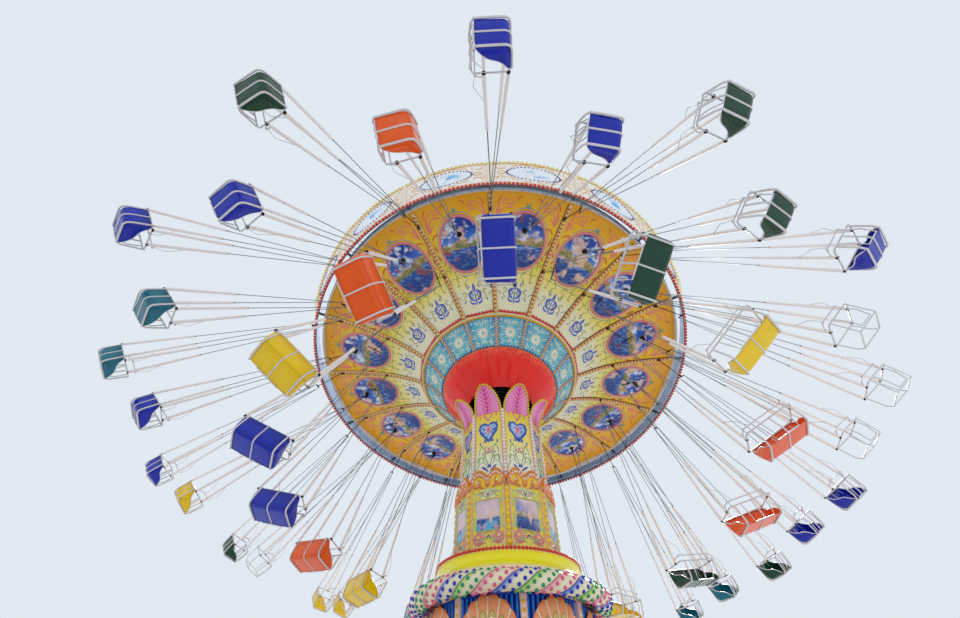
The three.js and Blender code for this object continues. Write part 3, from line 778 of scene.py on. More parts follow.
garland_paint = garland_coat.worn("9c7c48", 0.2, scale=3.0)
jewel_blue = Finish("jewel_blue", "1230b8", 0.12, clear=1.0).worn("060f50", 0.15)
jewel_green = Finish("jewel_green", "159a6a", 0.12, clear=1.0).worn("04402a", 0.15)
jewel_pink = Finish("jewel_pink", "f0608c", 0.12, clear=1.0).worn("8a1840", 0.15)
jewels = []
for number, paint in enumerate((jewel_blue, jewel_green, jewel_pink)):
    own_strand = number + 3 * np.arange(STRANDS // 3)
    rows, spots, own = np.meshgrid((0.25, 0.75), np.arange(JEWELS_PER_ROW), own_strand, indexing="ij")
    girths = (spots + rows) / JEWELS_PER_ROW
    places = on_garland((own + rows).ravel(), girths.ravel())
    outward = on_garland((own + rows).ravel(), girths.ravel(), 0.05) - places
    jewels.append((placed(dome(0.034, 0.03, 8, 3), standing(places - 0.06 * outward, outward)), paint))
piece("garland", [(rope, garland_paint), *jewels], "base", ("garland_ring",))

# Flared cornice: a spun cove in high gloss yellow that pales to cream at its foot, with a
# ring of red glass beads seated on its upper edge.
arc = np.linspace(0, math.pi / 2, 22)
cove_line = np.stack([1.69 - 0.284 * np.sin(arc), 3.86 + 0.315 * (1 - np.cos(arc))], -1)
cornice_profile = np.vstack([
    [(1.31, 3.824), (1.68, 3.824), (1.69, 3.832)], cove_line,
    [(1.404, 4.2), (1.395, 4.215), (1.375, 4.222), (1.31, 4.218)],
])
cornice_coat = Finish("cornice_paint", "fbf0c8", 0.1, clear=1.0)
x, y, z = cornice_coat.place()
cornice_coat.over("fdf07a", z.rising(3.88, 3.96))
cornice_coat.over("fff200", z.rising(3.93, 4.0))
cornice_coat.over("ffe000", z.rising(4.12, 4.2) * 0.4)
cornice_paint = cornice_coat.worn("b88a20", 0.12, scale=2.5)
CORNICE_BEADS = 124
red_beads = ring_of(ball(0.036, 8, 6), CORNICE_BEADS, 1.394, 4.226)
bead_gaps = ring_of(dome(0.014, 0.012, 6), CORNICE_BEADS, 1.422, 4.186, math.pi / CORNICE_BEADS)
cornice = turned(cornice_profile, 128)
piece(
    "cornice", [(cornice, cornice_paint), (red_beads, red_gloss), (bead_gaps, cream_gloss)],
    "base", ("flared_cornice",),
)

# Turning sleeve, tilting head and canopy frame: welded machine steel in grey paint, the
# sleeve and head greasy where they slide. These stay as the frame's own solids.
steel_coat = Finish("grey_steel", "565c60", 0.48, metal=0.3)
steel_coat.over("7c8286", steel_coat.fleck(5.0, 6.0).rising(0.5, 0.8) * 0.6)
grey_steel = steel_coat.worn("2a1c10", 0.6, 180.0)
grease_coat = Finish("greased_steel", "2c2f32", 0.34, metal=0.5)
grease_coat.over("0c0a08", grease_coat.fleck(3.0, 5.0, stretch=(1, 1, 0.3)).rising(0.45, 0.7) * 0.8)
greased_steel = grease_coat.worn("5a3a1c", 0.3, 200.0)
STEEL_NODES = {"turning_sleeve": greased_steel, "tilt_head": greased_steel, "canopy_frame": grey_steel}
for node, paint in STEEL_NODES.items():
    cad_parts[node].data.materials.clear()
    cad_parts[node].data.materials.append(paint)

# Lower tube of the column: an eight-sided steel tube with a guide band at its foot, and on
# each side a thin painted panel, yellow paling to cream, with a framed landscape.
TOWER_TURN = math.radians(3)
OCTAGON = math.cos(math.pi / 8)
LOWER_R = 1.08
LOWER_LOW = 3.2
LOWER_TOP = 5.55
FACE_LOW = 4.24
SCENE_LEVEL = 4.97


def octagon(outer, inner, low, high):
    """An eight-sided ring with a corner 3 degrees to the right of the front."""
    return turned([(inner, low), (outer, low), (outer, high), (inner, high)], 8, TOWER_TURN)


def on_face(radius, middle, base=0.0):
    """The surface of a side of an eight-sided tube, raised by base: x across, y up from the middle."""

    def surface(px, py, lift):
        reach = -(radius * OCTAGON) - (lift + base)
        return stacked(px, reach, py + middle)

    return surface


def face_panel(radius, low, high, half, middle, lift=0.006):
    """A thin painted plate on one side of a tube, its flat pattern measured from the side's middle."""
    px, py = np.meshgrid(np.linspace(-half, half, 5), np.linspace(low, high, 7) - middle)
    return plated(on_face(radius, middle)(px, py, lift), 0.012, np.stack([px, py], -1))


def repeated(turns, *dressed):
    """The same (part, paint) pairs, with each part placed by every matrix."""
    return [(placed(part, turns), paint) for part, paint in dressed]


def landscape(coat, py, size):
    """Paints a made-up landscape: white clouds over blue, hills at the middle and rippled water below."""
    cloud = coat.fleck(2.6 / size, 5.0, stretch=(1, 1.2, 1))
    up = py / size
    coat.over("3a74cf", up.rising(-2.0, -1.9))
    coat.over("1c3f9e", up.rising(0.2, 0.9))
    coat.over("eef2f6", cloud.rising(0.5, 0.62) * up.rising(-0.15, 0.1))
    coat.over("b9c6dc", cloud.rising(0.56, 0.6) * cloud.falling(0.6, 0.66) * up.rising(-0.1, 0.1))
    hill = up + (cloud - 0.5) * 1.4
    coat.over("c8a070", hill.falling(0.12, 0.15))
    coat.over("6f8a4c", hill.falling(0.02, 0.06) * coat.fleck(7.0 / size, 2.0).rising(0.42, 0.5))
    coat.over("a4523c", hill.falling(-0.02, 0.02) * coat.fleck(10.0 / size, 2.0).rising(0.58, 0.62))
    coat.over("2450a0", up.falling(-0.24, -0.2))
    ripple = coat.fleck(5.0 / size, 4.0, stretch=(0.6, 1.0, 4.0))
    coat.over("7fa9dc", up.falling(-0.24, -0.2) * ripple.rising(0.52, 0.62) * 0.8)
    coat.over("16307a", up.falling(-0.9, -0.3) * 0.6)


lower_coat = Finish("lower_panel_paint", "fbdc24", 0.26, clear=0.7)
x, y, z = lower_coat.place("UV")
lower_coat.over("fbec9c", y.falling(-0.8, -0.2) * 0.7)
lower_coat.over("fdf3c4", (abs(x) * 1.2).across(y - 0.36).falling(0.16, 0.3) * 0.7)
frame_x, frame_y = abs(x) / 0.235, abs(y) / 0.29
square = frame_x.math("POWER", 7.0) + frame_y.math("POWER", 7.0)
picture = Finish("lower_scene_paint", "3a74cf", 0.24, clear=0.8)
px, py, pz = picture.place("UV")
landscape(picture, py, 0.27)
haze = picture.fleck(0.42, 1.0)
picture.over("f6d6d4", haze.rising(0.48, 0.54) * py.rising(-0.09, -0.03) * 0.85)
picture.over("dcb8cc", haze.rising(0.48, 0.54) * picture.fleck(6.0, 4.0).rising(0.52, 0.58) * 0.8)
pools = picture.fleck(5.0, 3.0).rising(0.46, 0.5)
picture.over("58b8dc", haze.rising(0.5, 0.54) * py.falling(-0.16, -0.08) * pools)
picture.over("f3c9b4", (abs(px - 0.06) * 3.0 + abs(py + 0.02)).falling(0.14, 0.2) * 0.8)
scene_paint = picture.worn("6a5030", 0.2)
lower_coat.over("e2a23a", square.falling(1.9, 2.2))
lower_coat.over("7aa05a", abs(x).between(0.338, 0.346, 0.002))
lower_coat.over("d86a3c", y.rising(0.52, 0.525))
lower_panel_paint = lower_coat.worn("a87832", 0.22)

SCROLL_GREEN = both_ways([
    (0.02, 0.33, 60, 0.22, -3, -14, 0.02), (0.22, 0.34, 150, 0.3, 1, 12, 0.018),
    (0.3, 0.1, 95, 0.3, -2, 10, 0.018), (0.3, -0.02, -95, 0.28, 2, -10, 0.018),
    (0.02, -0.31, -40, 0.26, 5, 10, 0.02), (0.05, -0.52, 60, 0.24, -6, -14, 0.02),
    (0.1, 0.4, 10, 0.16, 8, 14, 0.022), (0.27, 0.22, 60, 0.13, -8, -16, 0.03),
    (0.27, -0.2, -60, 0.13, 8, 16, 0.03), (0.02, 0.44, 80, 0.1, -6, -20, 0.03),
    (0.31, 0.3, 100, 0.34, 3, 9, 0.018), (0.14, 0.46, -30, 0.24, 3, 14, 0.018),
    (0.02, 0.5, -10, 0.26, -3, -12, 0.018), (0.32, -0.3, 80, 0.3, -2, 8, 0.018),
    (0.02, -0.44, 10, 0.34, -3, 10, 0.018), (0.3, -0.6, 110, 0.26, 0, 9, 0.018),
])
SCROLL_PINK = both_ways([
    (0.12, -0.4, 30, 0.2, 6, 14, 0.04), (0.28, -0.42, 100, 0.18, 6, 12, 0.035),
    (0.1, -0.5, 10, 0.16, -4, 10, 0.03), (0.2, 0.44, 200, 0.14, -5, -9, 0.03),
    (0.05, 0.36, 30, 0.1, 8, 10, 0.026), (0.05, -0.38, -25, 0.3, -1, 12, 0.036),
    (0.32, -0.4, -110, 0.24, -2, -12, 0.034),
])
SCROLL_BLUE = both_ways([(0.0, 0.38, 60, 0.08, 0, 0, 0.035), (0.0, -0.36, -60, 0.1, 0, 0, 0.035)])
FRAME_ROWS = both_ways([
    (0.25, -0.28, 90, 0.56, 0.0, 0.0, 0.03), (0.0, 0.285, 0, 0.25, 0.6, -1.2, 0.03),
    (0.0, -0.285, 0, 0.25, -0.6, 1.2, 0.03),
])
LOWER_STOUT = 1.7
olive_shade = Finish("olive_shade", "74803a", 0.34, clear=0.4).worn("3c4418", 0.3)
sage_line = Finish("sage_line", "c8dcae", 0.32, clear=0.4).worn("4c6a34", 0.35)
green_line = Finish("green_line", "7fae6a", 0.32, clear=0.4).worn("3c5a28", 0.3)
pink_line = Finish("pink_line", "ee8f9c", 0.3, clear=0.5).worn("9c3c34", 0.3)
blue_line = Finish("blue_line", "2f4db0", 0.28, clear=0.5).worn("101c5a", 0.3)

sides = about_axis(evenly(8, TOWER_TURN + math.pi / 8))
lower_tube = joined(
    octagon(LOWER_R, LOWER_R - 0.04, LOWER_LOW + 0.14, LOWER_TOP),
    octagon(1.1596, LOWER_R - 0.04, LOWER_LOW, LOWER_LOW + 0.1398),
)
lower_panel = face_panel(LOWER_R, FACE_LOW, 5.54, 0.352, SCENE_LEVEL)
px, py = np.meshgrid(np.linspace(-0.24, 0.24, 9), np.linspace(-0.28, 0.28, 9))
framed = plated(on_face(LOWER_R, SCENE_LEVEL)(px, py, 0.012), 0.004, np.stack([px, py], -1))
lower_skin = on_face(LOWER_R, SCENE_LEVEL, 0.006)
stout_green = wider(SCROLL_GREEN, LOWER_STOUT)
green_lining = strokes(wider(stout_green, 1.6), on_face(LOWER_R, SCENE_LEVEL, 0.005), 0.006)
picture_frame = strokes(FRAME_ROWS, on_face(LOWER_R, SCENE_LEVEL, 0.011), 0.016)
tube_paint = Finish("tube_paint", "f0c24a", 0.4, clear=0.3).worn("6a4a20", 0.4)
piece(
    "lower_tube", [(lower_tube, tube_paint)] + repeated(
        sides, (lower_panel, lower_panel_paint), (framed, scene_paint),
        (strokes(stout_green, lower_skin, 0.014), sage_line), (green_lining, olive_shade),
        (strokes(wider(SCROLL_PINK, LOWER_STOUT), lower_skin, 0.014), pink_line),
        (strokes(SCROLL_BLUE, lower_skin, 0.009), blue_line), (picture_frame, sage_line),
    ), "lower_tube", ("lower_column",),
)

# Corner lamp rails of the lower tube: a pinkish channel up each corner with a gilt lip on
# both edges and a column of round yellow lamps set in it.
LAMP_PITCH = 0.125
lamp_levels = np.arange(FACE_LOW + 0.07, 5.52, LAMP_PITCH)
rail_outline = [
    (-0.078, -0.03), (0.078, -0.03), (0.078, 0.012), (0.062, 0.02), (0.05, 0.012), (0.046, -0.004),
    (-0.046, -0.004), (-0.05, 0.012), (-0.062, 0.02), (-0.078, 0.012),
]
rail_path = round_axis(LOWER_R - 0.012, 0.0, np.linspace(FACE_LOW - 0.02, 5.54, 6))
rail = carried(rail_path, rail_outline, (0, -1, 0))
lamp_places = round_axis(LOWER_R - 0.014, 0.0, lamp_levels)
lamp_column = placed(dome(0.05, 0.05, 8, 3), standing(lamp_places, (0, -1, 0)))
socket_column = placed(dome(0.057, 0.012, 8, 2), standing(lamp_places, (0, -1, 0)))
corners_turn = about_axis(evenly(8, TOWER_TURN))
rail_paint = Finish("rail_paint", "f2c3a0", 0.3, clear=0.6).worn("a05a34", 0.35, scale=3.0)
lamp_glass = Finish("lamp_glass", "fbd92a", 0.08, clear=1.0).worn("c88a10", 0.15, scale=6.0)
lamp_rails = repeated(
    corners_turn, (rail, rail_paint), (lamp_column, lamp_glass), (socket_column, gold_leaf),
)
piece("lamp_rails", lamp_rails, "lower_tube")

# Crest of the lower tube: on each side a cut board with two humps, carrying a pair of
# orange gold scrolls in high relief, with orange and white lamps along the humps.
HALF_SIDE = LOWER_R * math.sin(math.pi / 8)
LOWER_FLAT = LOWER_R * OCTAGON
CREST_LOW = 5.5
CREST_MIDDLE = LOWER_TOP + 0.12
CREST_LAMPS = 16


def crest_top(across):
    """Height of the crest: two humps, each a power of a sine over half the side, with a dip between."""
    share = np.clip(abs(across) / HALF_SIDE, 0, 1)
    hump = np.sin(math.pi * np.clip((share - 0.04) / 0.84, 0, 1)) ** 1.2
    return LOWER_TOP + 0.2 + 0.135 * hump - 0.1 * share**6


across = np.linspace(-0.95, 0.95, 49) * HALF_SIDE
rise = np.linspace(0, 1, 7)[:, None]
bow = -(LOWER_FLAT + 0.008 + 0.012 * np.sin(math.pi * rise))
climb = CREST_LOW + (crest_top(across) - CREST_LOW) * rise
crest = plated(stacked(across, bow, climb), 0.035)
CREST_SCROLLS = both_ways([
    (0.02, 0.0, 58, 0.84, -3.0, -13.6, 0.062), (0.01, -0.15, 75, 0.2, -2.0, 6.0, 0.045),
    (0.1, -0.16, 20, 0.16, 3.0, 9.0, 0.035), (0.4, -0.17, 120, 0.2, -3.0, -6.0, 0.035),
])
crest_scrolls = strokes(CREST_SCROLLS, on_face(LOWER_R, CREST_MIDDLE, 0.018), 0.036)
crest_shade = strokes(wider(CREST_SCROLLS, 1.5), on_face(LOWER_R, CREST_MIDDLE, 0.016), 0.016)
lamp_across = np.linspace(-0.93, 0.93, CREST_LAMPS) * HALF_SIDE
crest_places = stacked(lamp_across, -LOWER_FLAT - 0.012, crest_top(lamp_across) - 0.004)
eyes = [(side * HALF_SIDE * 0.53, -LOWER_FLAT - 0.035, LOWER_TOP + 0.085) for side in (-1, 1)]
crest_lamps = placed(ball(0.033, 8, 6), standing(crest_places - (0, 0.008, 0), (0, -0.4, 1)))
lower_row = crest_places[1:-1] - (0, 0.023, 0.062)
white_lamps = placed(ball(0.028, 8, 6), standing(np.vstack([lower_row, eyes]), (0, -0.4, 1)))
crest_paint = Finish("crest_paint", "fbd02c", 0.26, clear=0.7).worn("8c4410", 0.3)
crest_shade_paint = Finish("crest_shade", "b4561c", 0.3, clear=0.5).worn("6c2a08", 0.3)
scroll_gold = Finish("scroll_gold", "fba480", 0.24, clear=0.8).worn("c86a3c", 0.2, scale=5.0)
orange_lamp = Finish("orange_lamp", "f68a1e", 0.08, clear=1.0).worn("a03c08", 0.2, scale=6.0)
piece(
    "crest", repeated(
        sides, (crest, crest_paint), (crest_scrolls, scroll_gold), (crest_shade, crest_shade_paint),
        (crest_lamps, orange_lamp), (white_lamps, cream_gloss),
    ), "lower_tube",
)

# Upper tube of the column: eight painted sides, yellow at the top and cream below, each with
# a blue heart, vines and flowers; inside it a deck with two bored lugs for the head's shaft.
UPPER_R = 0.97
UPPER_LOW = 4.5
UPPER_TOP = 7.44
HEART_LEVEL = 6.92
PIVOT = 7.96
LUG_HALF = 0.15
LUG_UP = 0.11
LUG_DOWN = 0.73
LUG_BORE = 0.063

upper_coat = Finish("upper_panel_paint", "fdf8dc", 0.26, clear=0.7)
x, y, z = upper_coat.place("UV")
upper_coat.over("fce96a", y.rising(-0.85, -0.1))
upper_coat.over("fbd620", y.rising(0.0, 0.5) * 0.85)
upper_coat.over("fbdc34", abs(x).rising(0.24, 0.3) * y.rising(-0.9, -0.4) * 0.7)
heart_x, y = abs(x) * 0.9, y * 0.92
lobe = (heart_x - 0.1).across(y - 0.07)
taper = heart_x * 1.25 + abs(y + 0.03)
point = taper.falling(0.262, 0.267) * y.falling(0.06, 0.07)
heart = lobe.falling(0.122, 0.126).math("MAXIMUM", point)
upper_coat.over("3558b4", heart)
inner_lobe = (heart_x - 0.09).across(y - 0.065)
inner_taper = heart_x * 1.25 + abs(y + 0.02)
inner_point = inner_taper.falling(0.19, 0.195) * y.falling(0.05, 0.06)
inner = inner_lobe.falling(0.086, 0.09).math("MAXIMUM", inner_point)
upper_coat.over("b4d0ea", inner)
upper_coat.over("3f6cc8", inner * upper_coat.fleck(18.0, 3.0).rising(0.5, 0.54))
upper_coat.over("f49ab4", (heart_x * 1.9).across(y - 0.01).falling(0.1, 0.106))
upper_coat.over("e04c84", (heart_x * 2.4).across(y - 0.02).falling(0.04, 0.046))
upper_panel_paint = upper_coat.worn("a87832", 0.2)
UPPER_BLUE = both_ways([
    (0.02, 0.13, 80, 0.2, -10, -12, 0.035), (0.19, 0.12, 60, 0.13, 3, 12, 0.03),
    (0.02, -0.2, -75, 0.18, 5, 16, 0.03), (0.05, -0.3, 35, 0.12, 6, 14, 0.05),
    (0.2, -0.36, 70, 0.1, 4, 10, 0.045), (0.03, -0.93, 100, 0.1, 0, -3, 0.06),
    (0.1, -0.95, 60, 0.11, -4, -8, 0.06), (0.02, -1.0, 30, 0.14, 5, 4, 0.05),
    (0.14, -0.6, 80, 0.05, 0, 0, 0.04),
])
UPPER_GREEN = both_ways([
    (0.02, -0.9, 85, 0.44, -3, 5, 0.016), (0.06, -0.86, 40, 0.4, 4, 9, 0.018),
    (0.1, -0.72, 60, 0.26, -6, -14, 0.016), (0.24, -0.62, 100, 0.3, -2, 9, 0.016),
    (0.05, -0.56, 30, 0.2, 8, 18, 0.02), (0.14, -0.46, 100, 0.14, -10, -20, 0.02),
    (0.25, -0.8, 80, 0.16, 5, 12, 0.03), (0.3, -1.0, 100, 0.3, 0, 8, 0.016),
])
UPPER_PINK = both_ways([
    (0.03, 0.34, 20, 0.2, 10, 14, 0.04), (0.2, 0.36, 60, 0.16, 8, 12, 0.035),
    (0.0, 0.26, 60, 0.1, 0, 10, 0.045), (0.0, -0.52, 60, 0.09, 8, 4, 0.04),
    (0.0, -0.56, 20, 0.08, 4, 4, 0.035),
])
upper_skin = on_face(UPPER_R, HEART_LEVEL, 0.006)
deck = octagon(UPPER_R - 0.03, 0.06, UPPER_TOP - 0.09, UPPER_TOP - 0.04)
upper_tube = joined(
    octagon(UPPER_R, UPPER_R - 0.04, UPPER_LOW + 0.14, UPPER_TOP),
    octagon(LOWER_R - 0.0404, UPPER_R - 0.04, UPPER_LOW, UPPER_LOW + 0.1398),
)
bore = evenly(32)
tall = np.where(np.sin(bore) > 0, LUG_UP, LUG_DOWN)
stretch = 1 / np.maximum(abs(np.cos(bore)) / LUG_HALF, abs(np.sin(bore)) / tall)
rounded = np.where(np.sin(bore) > 0, np.minimum(stretch, LUG_HALF), stretch)
lug_rings = np.stack([
    stacked(depth, reach * np.cos(bore), PIVOT + reach * np.sin(bore))
    for depth, reach in ((-0.03, LUG_BORE), (-0.03, rounded), (0.03, rounded), (0.03, LUG_BORE))
])
lug = facing_out(woven(lug_rings, None, True, True))
lug_turns = np.tile(np.eye(4), (2, 1, 1))
lug_turns[:, 0, 3] = (-0.36, 0.36)
piece(
    "upper_tube", [
        (upper_tube, tube_paint), (deck, grey_steel), (placed(lug, lug_turns), grey_steel), *repeated(
            sides, (face_panel(UPPER_R, 4.66, 7.43, 0.318, HEART_LEVEL), upper_panel_paint),
            (strokes(UPPER_BLUE, upper_skin, 0.008), blue_line),
            (strokes(wider(UPPER_GREEN, 1.6), upper_skin, 0.009), green_line),
            (strokes(wider(UPPER_PINK, 1.4), upper_skin, 0.011), pink_line),
        ),
    ], "upper_tube", ("upper_column",),
)

# Pearl rows: pink white glass pearls strung on a thin batten up each corner of the
# upper tube, smaller than the lamps below so that they pass inside the crest. The batten's
# pinkish paint is a painted shade between the pearls.
pearl_levels = np.arange(4.7, 7.44, 0.09)
pearl_places = round_axis(UPPER_R + 0.007, 0.0, pearl_levels)
pearl_row = placed(ball(0.041, 8, 6), standing(pearl_places, (0, -1, 0)))
batten_outline = [
    (-0.05, -0.03), (0.05, -0.03), (0.05, -0.012), (0.02, 0.008), (-0.02, 0.008), (-0.05, -0.012),
]
batten_path = round_axis(UPPER_R + 0.002, 0.0, (4.66, 5.5, 6.4, 7.43))
batten = carried(batten_path, batten_outline, (0, -1, 0))
pearl_coat = Finish("pearl_glass", "fff6f2", 0.14, clear=1.0)
pearl_coat.over("f4c4bc", pearl_coat.fleck(7.0, 1.0).rising(0.5, 0.65) * 0.5)
pearl_glass = pearl_coat.worn("b8807c", 0.15)
# Pinkish batten: a painted shade between the pearls.
batten_painted_shade = Finish("batten_painted_shade", "dfa690", 0.3, clear=0.5).worn("8a4c3c", 0.3)
pearl_rows = repeated(corners_turn, (pearl_row, pearl_glass), (batten, batten_painted_shade))
piece("pearl_rows", pearl_rows, "upper_tube")

# Petals: eight moulded leaves round the top of the tube, leaning out, pink with raised
# veins and an ochre rim, edged with a rope of yellow beads.
PETAL_LOW = 7.39
PETAL_TALL = 0.638
PETAL_LEAN = 0.36
PETAL_HALF = 0.335
PETAL_BEADS = 27
PETAL_VEINS = 7.0
VEIN_SLANT = 9.0


def petal_edge(up):
    """Half width of a petal: full at its foot and closing as a root of one minus a power of its height."""
    return PETAL_HALF * np.clip(1 - up**3.0, 0, 1) ** 0.62


def on_petal(across, up, lift):
    """The petal's face: it leans out as a power of its height and cups a little between its edges."""
    half = petal_edge(up)
    cup = 0.03 * (across**2) * np.sin(math.pi * np.clip(up, 0, 1)) ** 0.5
    reach = UPPER_R * OCTAGON + 0.02 + PETAL_LEAN * up**1.8 + lift - cup
    return stacked(across * half, -reach, PETAL_LOW + PETAL_TALL * up)


up, across = np.meshgrid(np.linspace(0, 0.985, 22), np.linspace(-1, 1, 19), indexing="ij")
vein = abs(((up * PETAL_VEINS - abs(across) * petal_edge(up) * VEIN_SLANT) % 1.0) - 0.5)
veins = 0.008 * np.clip(1 - (0.5 - vein) * 6, 0, 1) + 0.01 * np.clip(1 - abs(across) * 7, 0, 1)
petal = plated(on_petal(across, up, veins), 0.028, np.stack([across * petal_edge(up), up], -1))
rim_up = np.linspace(0.0, 0.985, 17)
rim = np.vstack([on_petal(-1, rim_up, 0.0), on_petal(1, rim_up, 0.0)[::-1]])
run = travelled(rim)
beads_at = np.linspace(0, run[-1], PETAL_BEADS)
rim_places = np.stack([np.interp(beads_at, run, rim[:, k]) for k in range(3)], -1)
rim_beads = placed(ball(0.0285, 8, 6), standing(rim_places - (0, 0.008, 0), (0, -1, 0)))
petal_coat = Finish("petal_paint", "f78cc0", 0.26, clear=0.7)
x, y, z = petal_coat.place("UV")
stem = abs(x)
chevron = abs(((y * PETAL_VEINS - stem * VEIN_SLANT) % 1.0) - 0.5)
petal_coat.over("ec3c9c", stem.falling(0.02, 0.2) * 0.75)
petal_coat.over("fcc4dc", chevron.rising(0.36, 0.44) * stem.falling(0.26, 0.3) * 0.8)
petal_coat.over("d8288c", stem.falling(0.01, 0.018))
petal_coat.over("b8941c", (stem / PETAL_HALF + y.math("POWER", 5.0)).rising(0.88, 0.92))
petal_paint = petal_coat.worn("983058", 0.2)
bead_yellow = Finish("bead_yellow", "f0d630", 0.2, clear=0.8).worn("a88a10", 0.2, scale=6.0)
petals = repeated(sides, (petal, petal_paint), (rim_beads, bead_yellow))
piece("petals", petals, "upper_tube")

# Ceiling: sixteen vaulted sheet panels, painted from orange at the rim to cream at the centre,
# each with an oval landscape in a pink frame and hand painted vines, wings, scrolls and lace.
TILT = math.radians(12)
BAYS = 16
BAY = TURN / BAYS
RIM_R = 5.5
RIM_LEVEL = 2.172
CEILING_IN = 2.255
CEILING_DIP = 0.72
VAULT = 0.11
BAY_SLOPE = 0.199
OVAL_AT = 4.17
OVAL = (0.56, 0.72)
OVAL_SIDES = 48


def hoisted(part):
    """Lifts a part from the canopy's own frame, whose origin is the pivot, and tilts it about that."""
    x, y, z = part[0].T
    y, z = y * math.cos(TILT) + z * math.sin(TILT), z * math.cos(TILT) - y * math.sin(TILT) + PIVOT
    return np.stack([x, y, z], -1), part[1], part[2]


def all_hoisted(dressed):
    """The same (part, paint) pairs, with each part hoisted."""
    return [(hoisted(part), paint) for part, paint in dressed]


def underside(radius, angle):
    """Height of the ceiling: it dips with a power of the way in from the rim, and each bay is vaulted."""
    inwards = np.clip((1 - radius / RIM_R) / (1 - CEILING_IN / RIM_R), 0, 1)
    vault = abs(np.cos(math.pi * angle / BAY)) * np.clip((radius - CEILING_IN) / 0.9, 0, 1)
    return RIM_LEVEL - CEILING_DIP * inwards**2.5 + VAULT * vault


def on_ceiling(px, py, lift):
    """A bay's painted face: y runs out from the centre along the bay's middle and x runs across it."""
    return np.stack([px, -py, underside(np.hypot(px, py), np.arctan2(px, py)) - lift], -1)


def round_oval(share, angle):
    """Flat x and y of a place that share of the way from the oval's middle to its edge."""
    return share * OVAL[0] * np.sin(angle), OVAL_AT + share * OVAL[1] * np.cos(angle)


bays = about_axis(evenly(BAYS, BAY / 2))
ribs = about_axis(evenly(BAYS))
bay_angles = np.linspace(-0.4995, 0.4995, 19) * BAY
angle, radius = np.meshgrid(bay_angles, np.linspace(CEILING_IN, RIM_R - 0.002, 44))
px, py = radius * np.sin(angle), radius * np.cos(angle)
bay_panel = plated(on_ceiling(px, py, 0.0), 0.036, np.stack([px, py], -1))

ceiling_coat = Finish("ceiling_paint", "f6eec6", 0.24, clear=0.6)
x, y, z = ceiling_coat.place("UV")
across = abs(x)
ceiling_coat.over("f8e88e", y.rising(2.85, 3.2))
ceiling_coat.over("fbdc34", y.rising(3.1, 3.65))
ceiling_coat.over("fbc81a", y.rising(3.8, 4.5))
ceiling_coat.over("f6ae08", y.rising(4.5, 5.3))
share = across / (y * BAY_SLOPE)
ceiling_coat.over("ef9c08", share.rising(0.86, 0.97) * y.rising(3.2, 4.4) * 0.4)
lace = y + abs((x * 30.0).math("SINE")) * 0.03
ceiling_coat.over("e8b8a0", lace.falling(2.395, 2.4))
ceiling_coat.over("d6382c", lace.falling(2.375, 2.38))
ceiling_coat.over("f6d478", y.falling(2.3, 2.305))
oval = (x / OVAL[0]).across((y - OVAL_AT) / OVAL[1])
ceiling_coat.over("8d98b4", abs(oval - 1.2).falling(0.012, 0.02))
ceiling_coat.over("c87e68", oval.falling(1.12, 1.13))
# A paler line along the middle of the oval's frame: a painted highlight.
ceiling_coat.over("f2c0a6", abs(oval - 1.07).falling(0.02, 0.035))
oval_coat = Finish("oval_scene_paint", "3a74cf", 0.22, clear=0.8)
landscape(oval_coat, oval_coat.place("UV")[1] - OVAL_AT, 0.55)
blush = oval_coat.fleck(0.5, 1.0)
oval_coat.over("f3c9a8", blush.rising(0.5, 0.56) * oval_coat.fleck(3.2, 5.0).rising(0.5, 0.6) * 0.85)
oval_coat.over("a4482e", blush.falling(0.44, 0.5) * oval_coat.fleck(4.4, 4.0).rising(0.56, 0.62) * 0.8)
ceiling_paint = ceiling_coat.worn("a87832", 0.2)
oval_paint = oval_coat.worn("6a5030", 0.15)
ring, spoke = np.meshgrid(np.linspace(0.05, 1, 9), evenly(OVAL_SIDES), indexing="ij")
px, py = round_oval(ring, spoke)
oval_rings = np.concatenate([on_ceiling(px, py, 0.006), on_ceiling(px, py, -0.002)[::-1]])
oval_laid = np.stack([px, py], -1)
oval_laid = np.concatenate([oval_laid, oval_laid[::-1]])
oval_laid = np.concatenate([oval_laid, oval_laid[:, :1]], 1)
oval_disc = facing_out(lidded(woven(oval_rings, oval_laid, loop_columns=True), OVAL_SIDES))
oval_disc[2][-2 * OVAL_SIDES :] = (0.0, OVAL_AT)
oval_path = on_ceiling(*round_oval(1.07, evenly(64)), 0.004)
oval_frame = carried(oval_path, circle(0.026, 6), (0, 0, -1), closed=True)

WINGS = both_ways([
    (0.78, 4.7, 80, 0.5, 0.6, 3.0, 0.06), (0.77, 4.66, 92, 0.42, 1.0, 4.2, 0.05),
    (0.76, 4.62, 104, 0.32, 1.5, 6.0, 0.045), (0.6, 4.98, 150, 0.26, 3.0, 10.0, 0.05),
    (0.6, 5.06, 140, 0.22, 4.0, 12.0, 0.045), (0.5, 5.2, 10, 0.3, -3.0, -14.0, 0.04),
    (0.36, 5.1, 20, 0.24, 4.0, 16.0, 0.04),
])
CURLS = both_ways([
    (0.74, 4.44, 100, 0.34, 3.0, 17.0, 0.04), (0.7, 4.1, 84, 0.3, 1.0, -6.0, 0.035),
    (0.68, 4.16, 60, 0.18, -3.0, -15.0, 0.035), (0.66, 3.86, 75, 0.3, -1.0, -4.0, 0.04),
    (0.62, 3.7, 100, 0.18, 2.0, 12.0, 0.035), (0.83, 5.05, 100, 0.3, 0.0, 7.0, 0.035),
    (0.2, 5.3, 0, 0.22, -4.0, -20.0, 0.035),
])
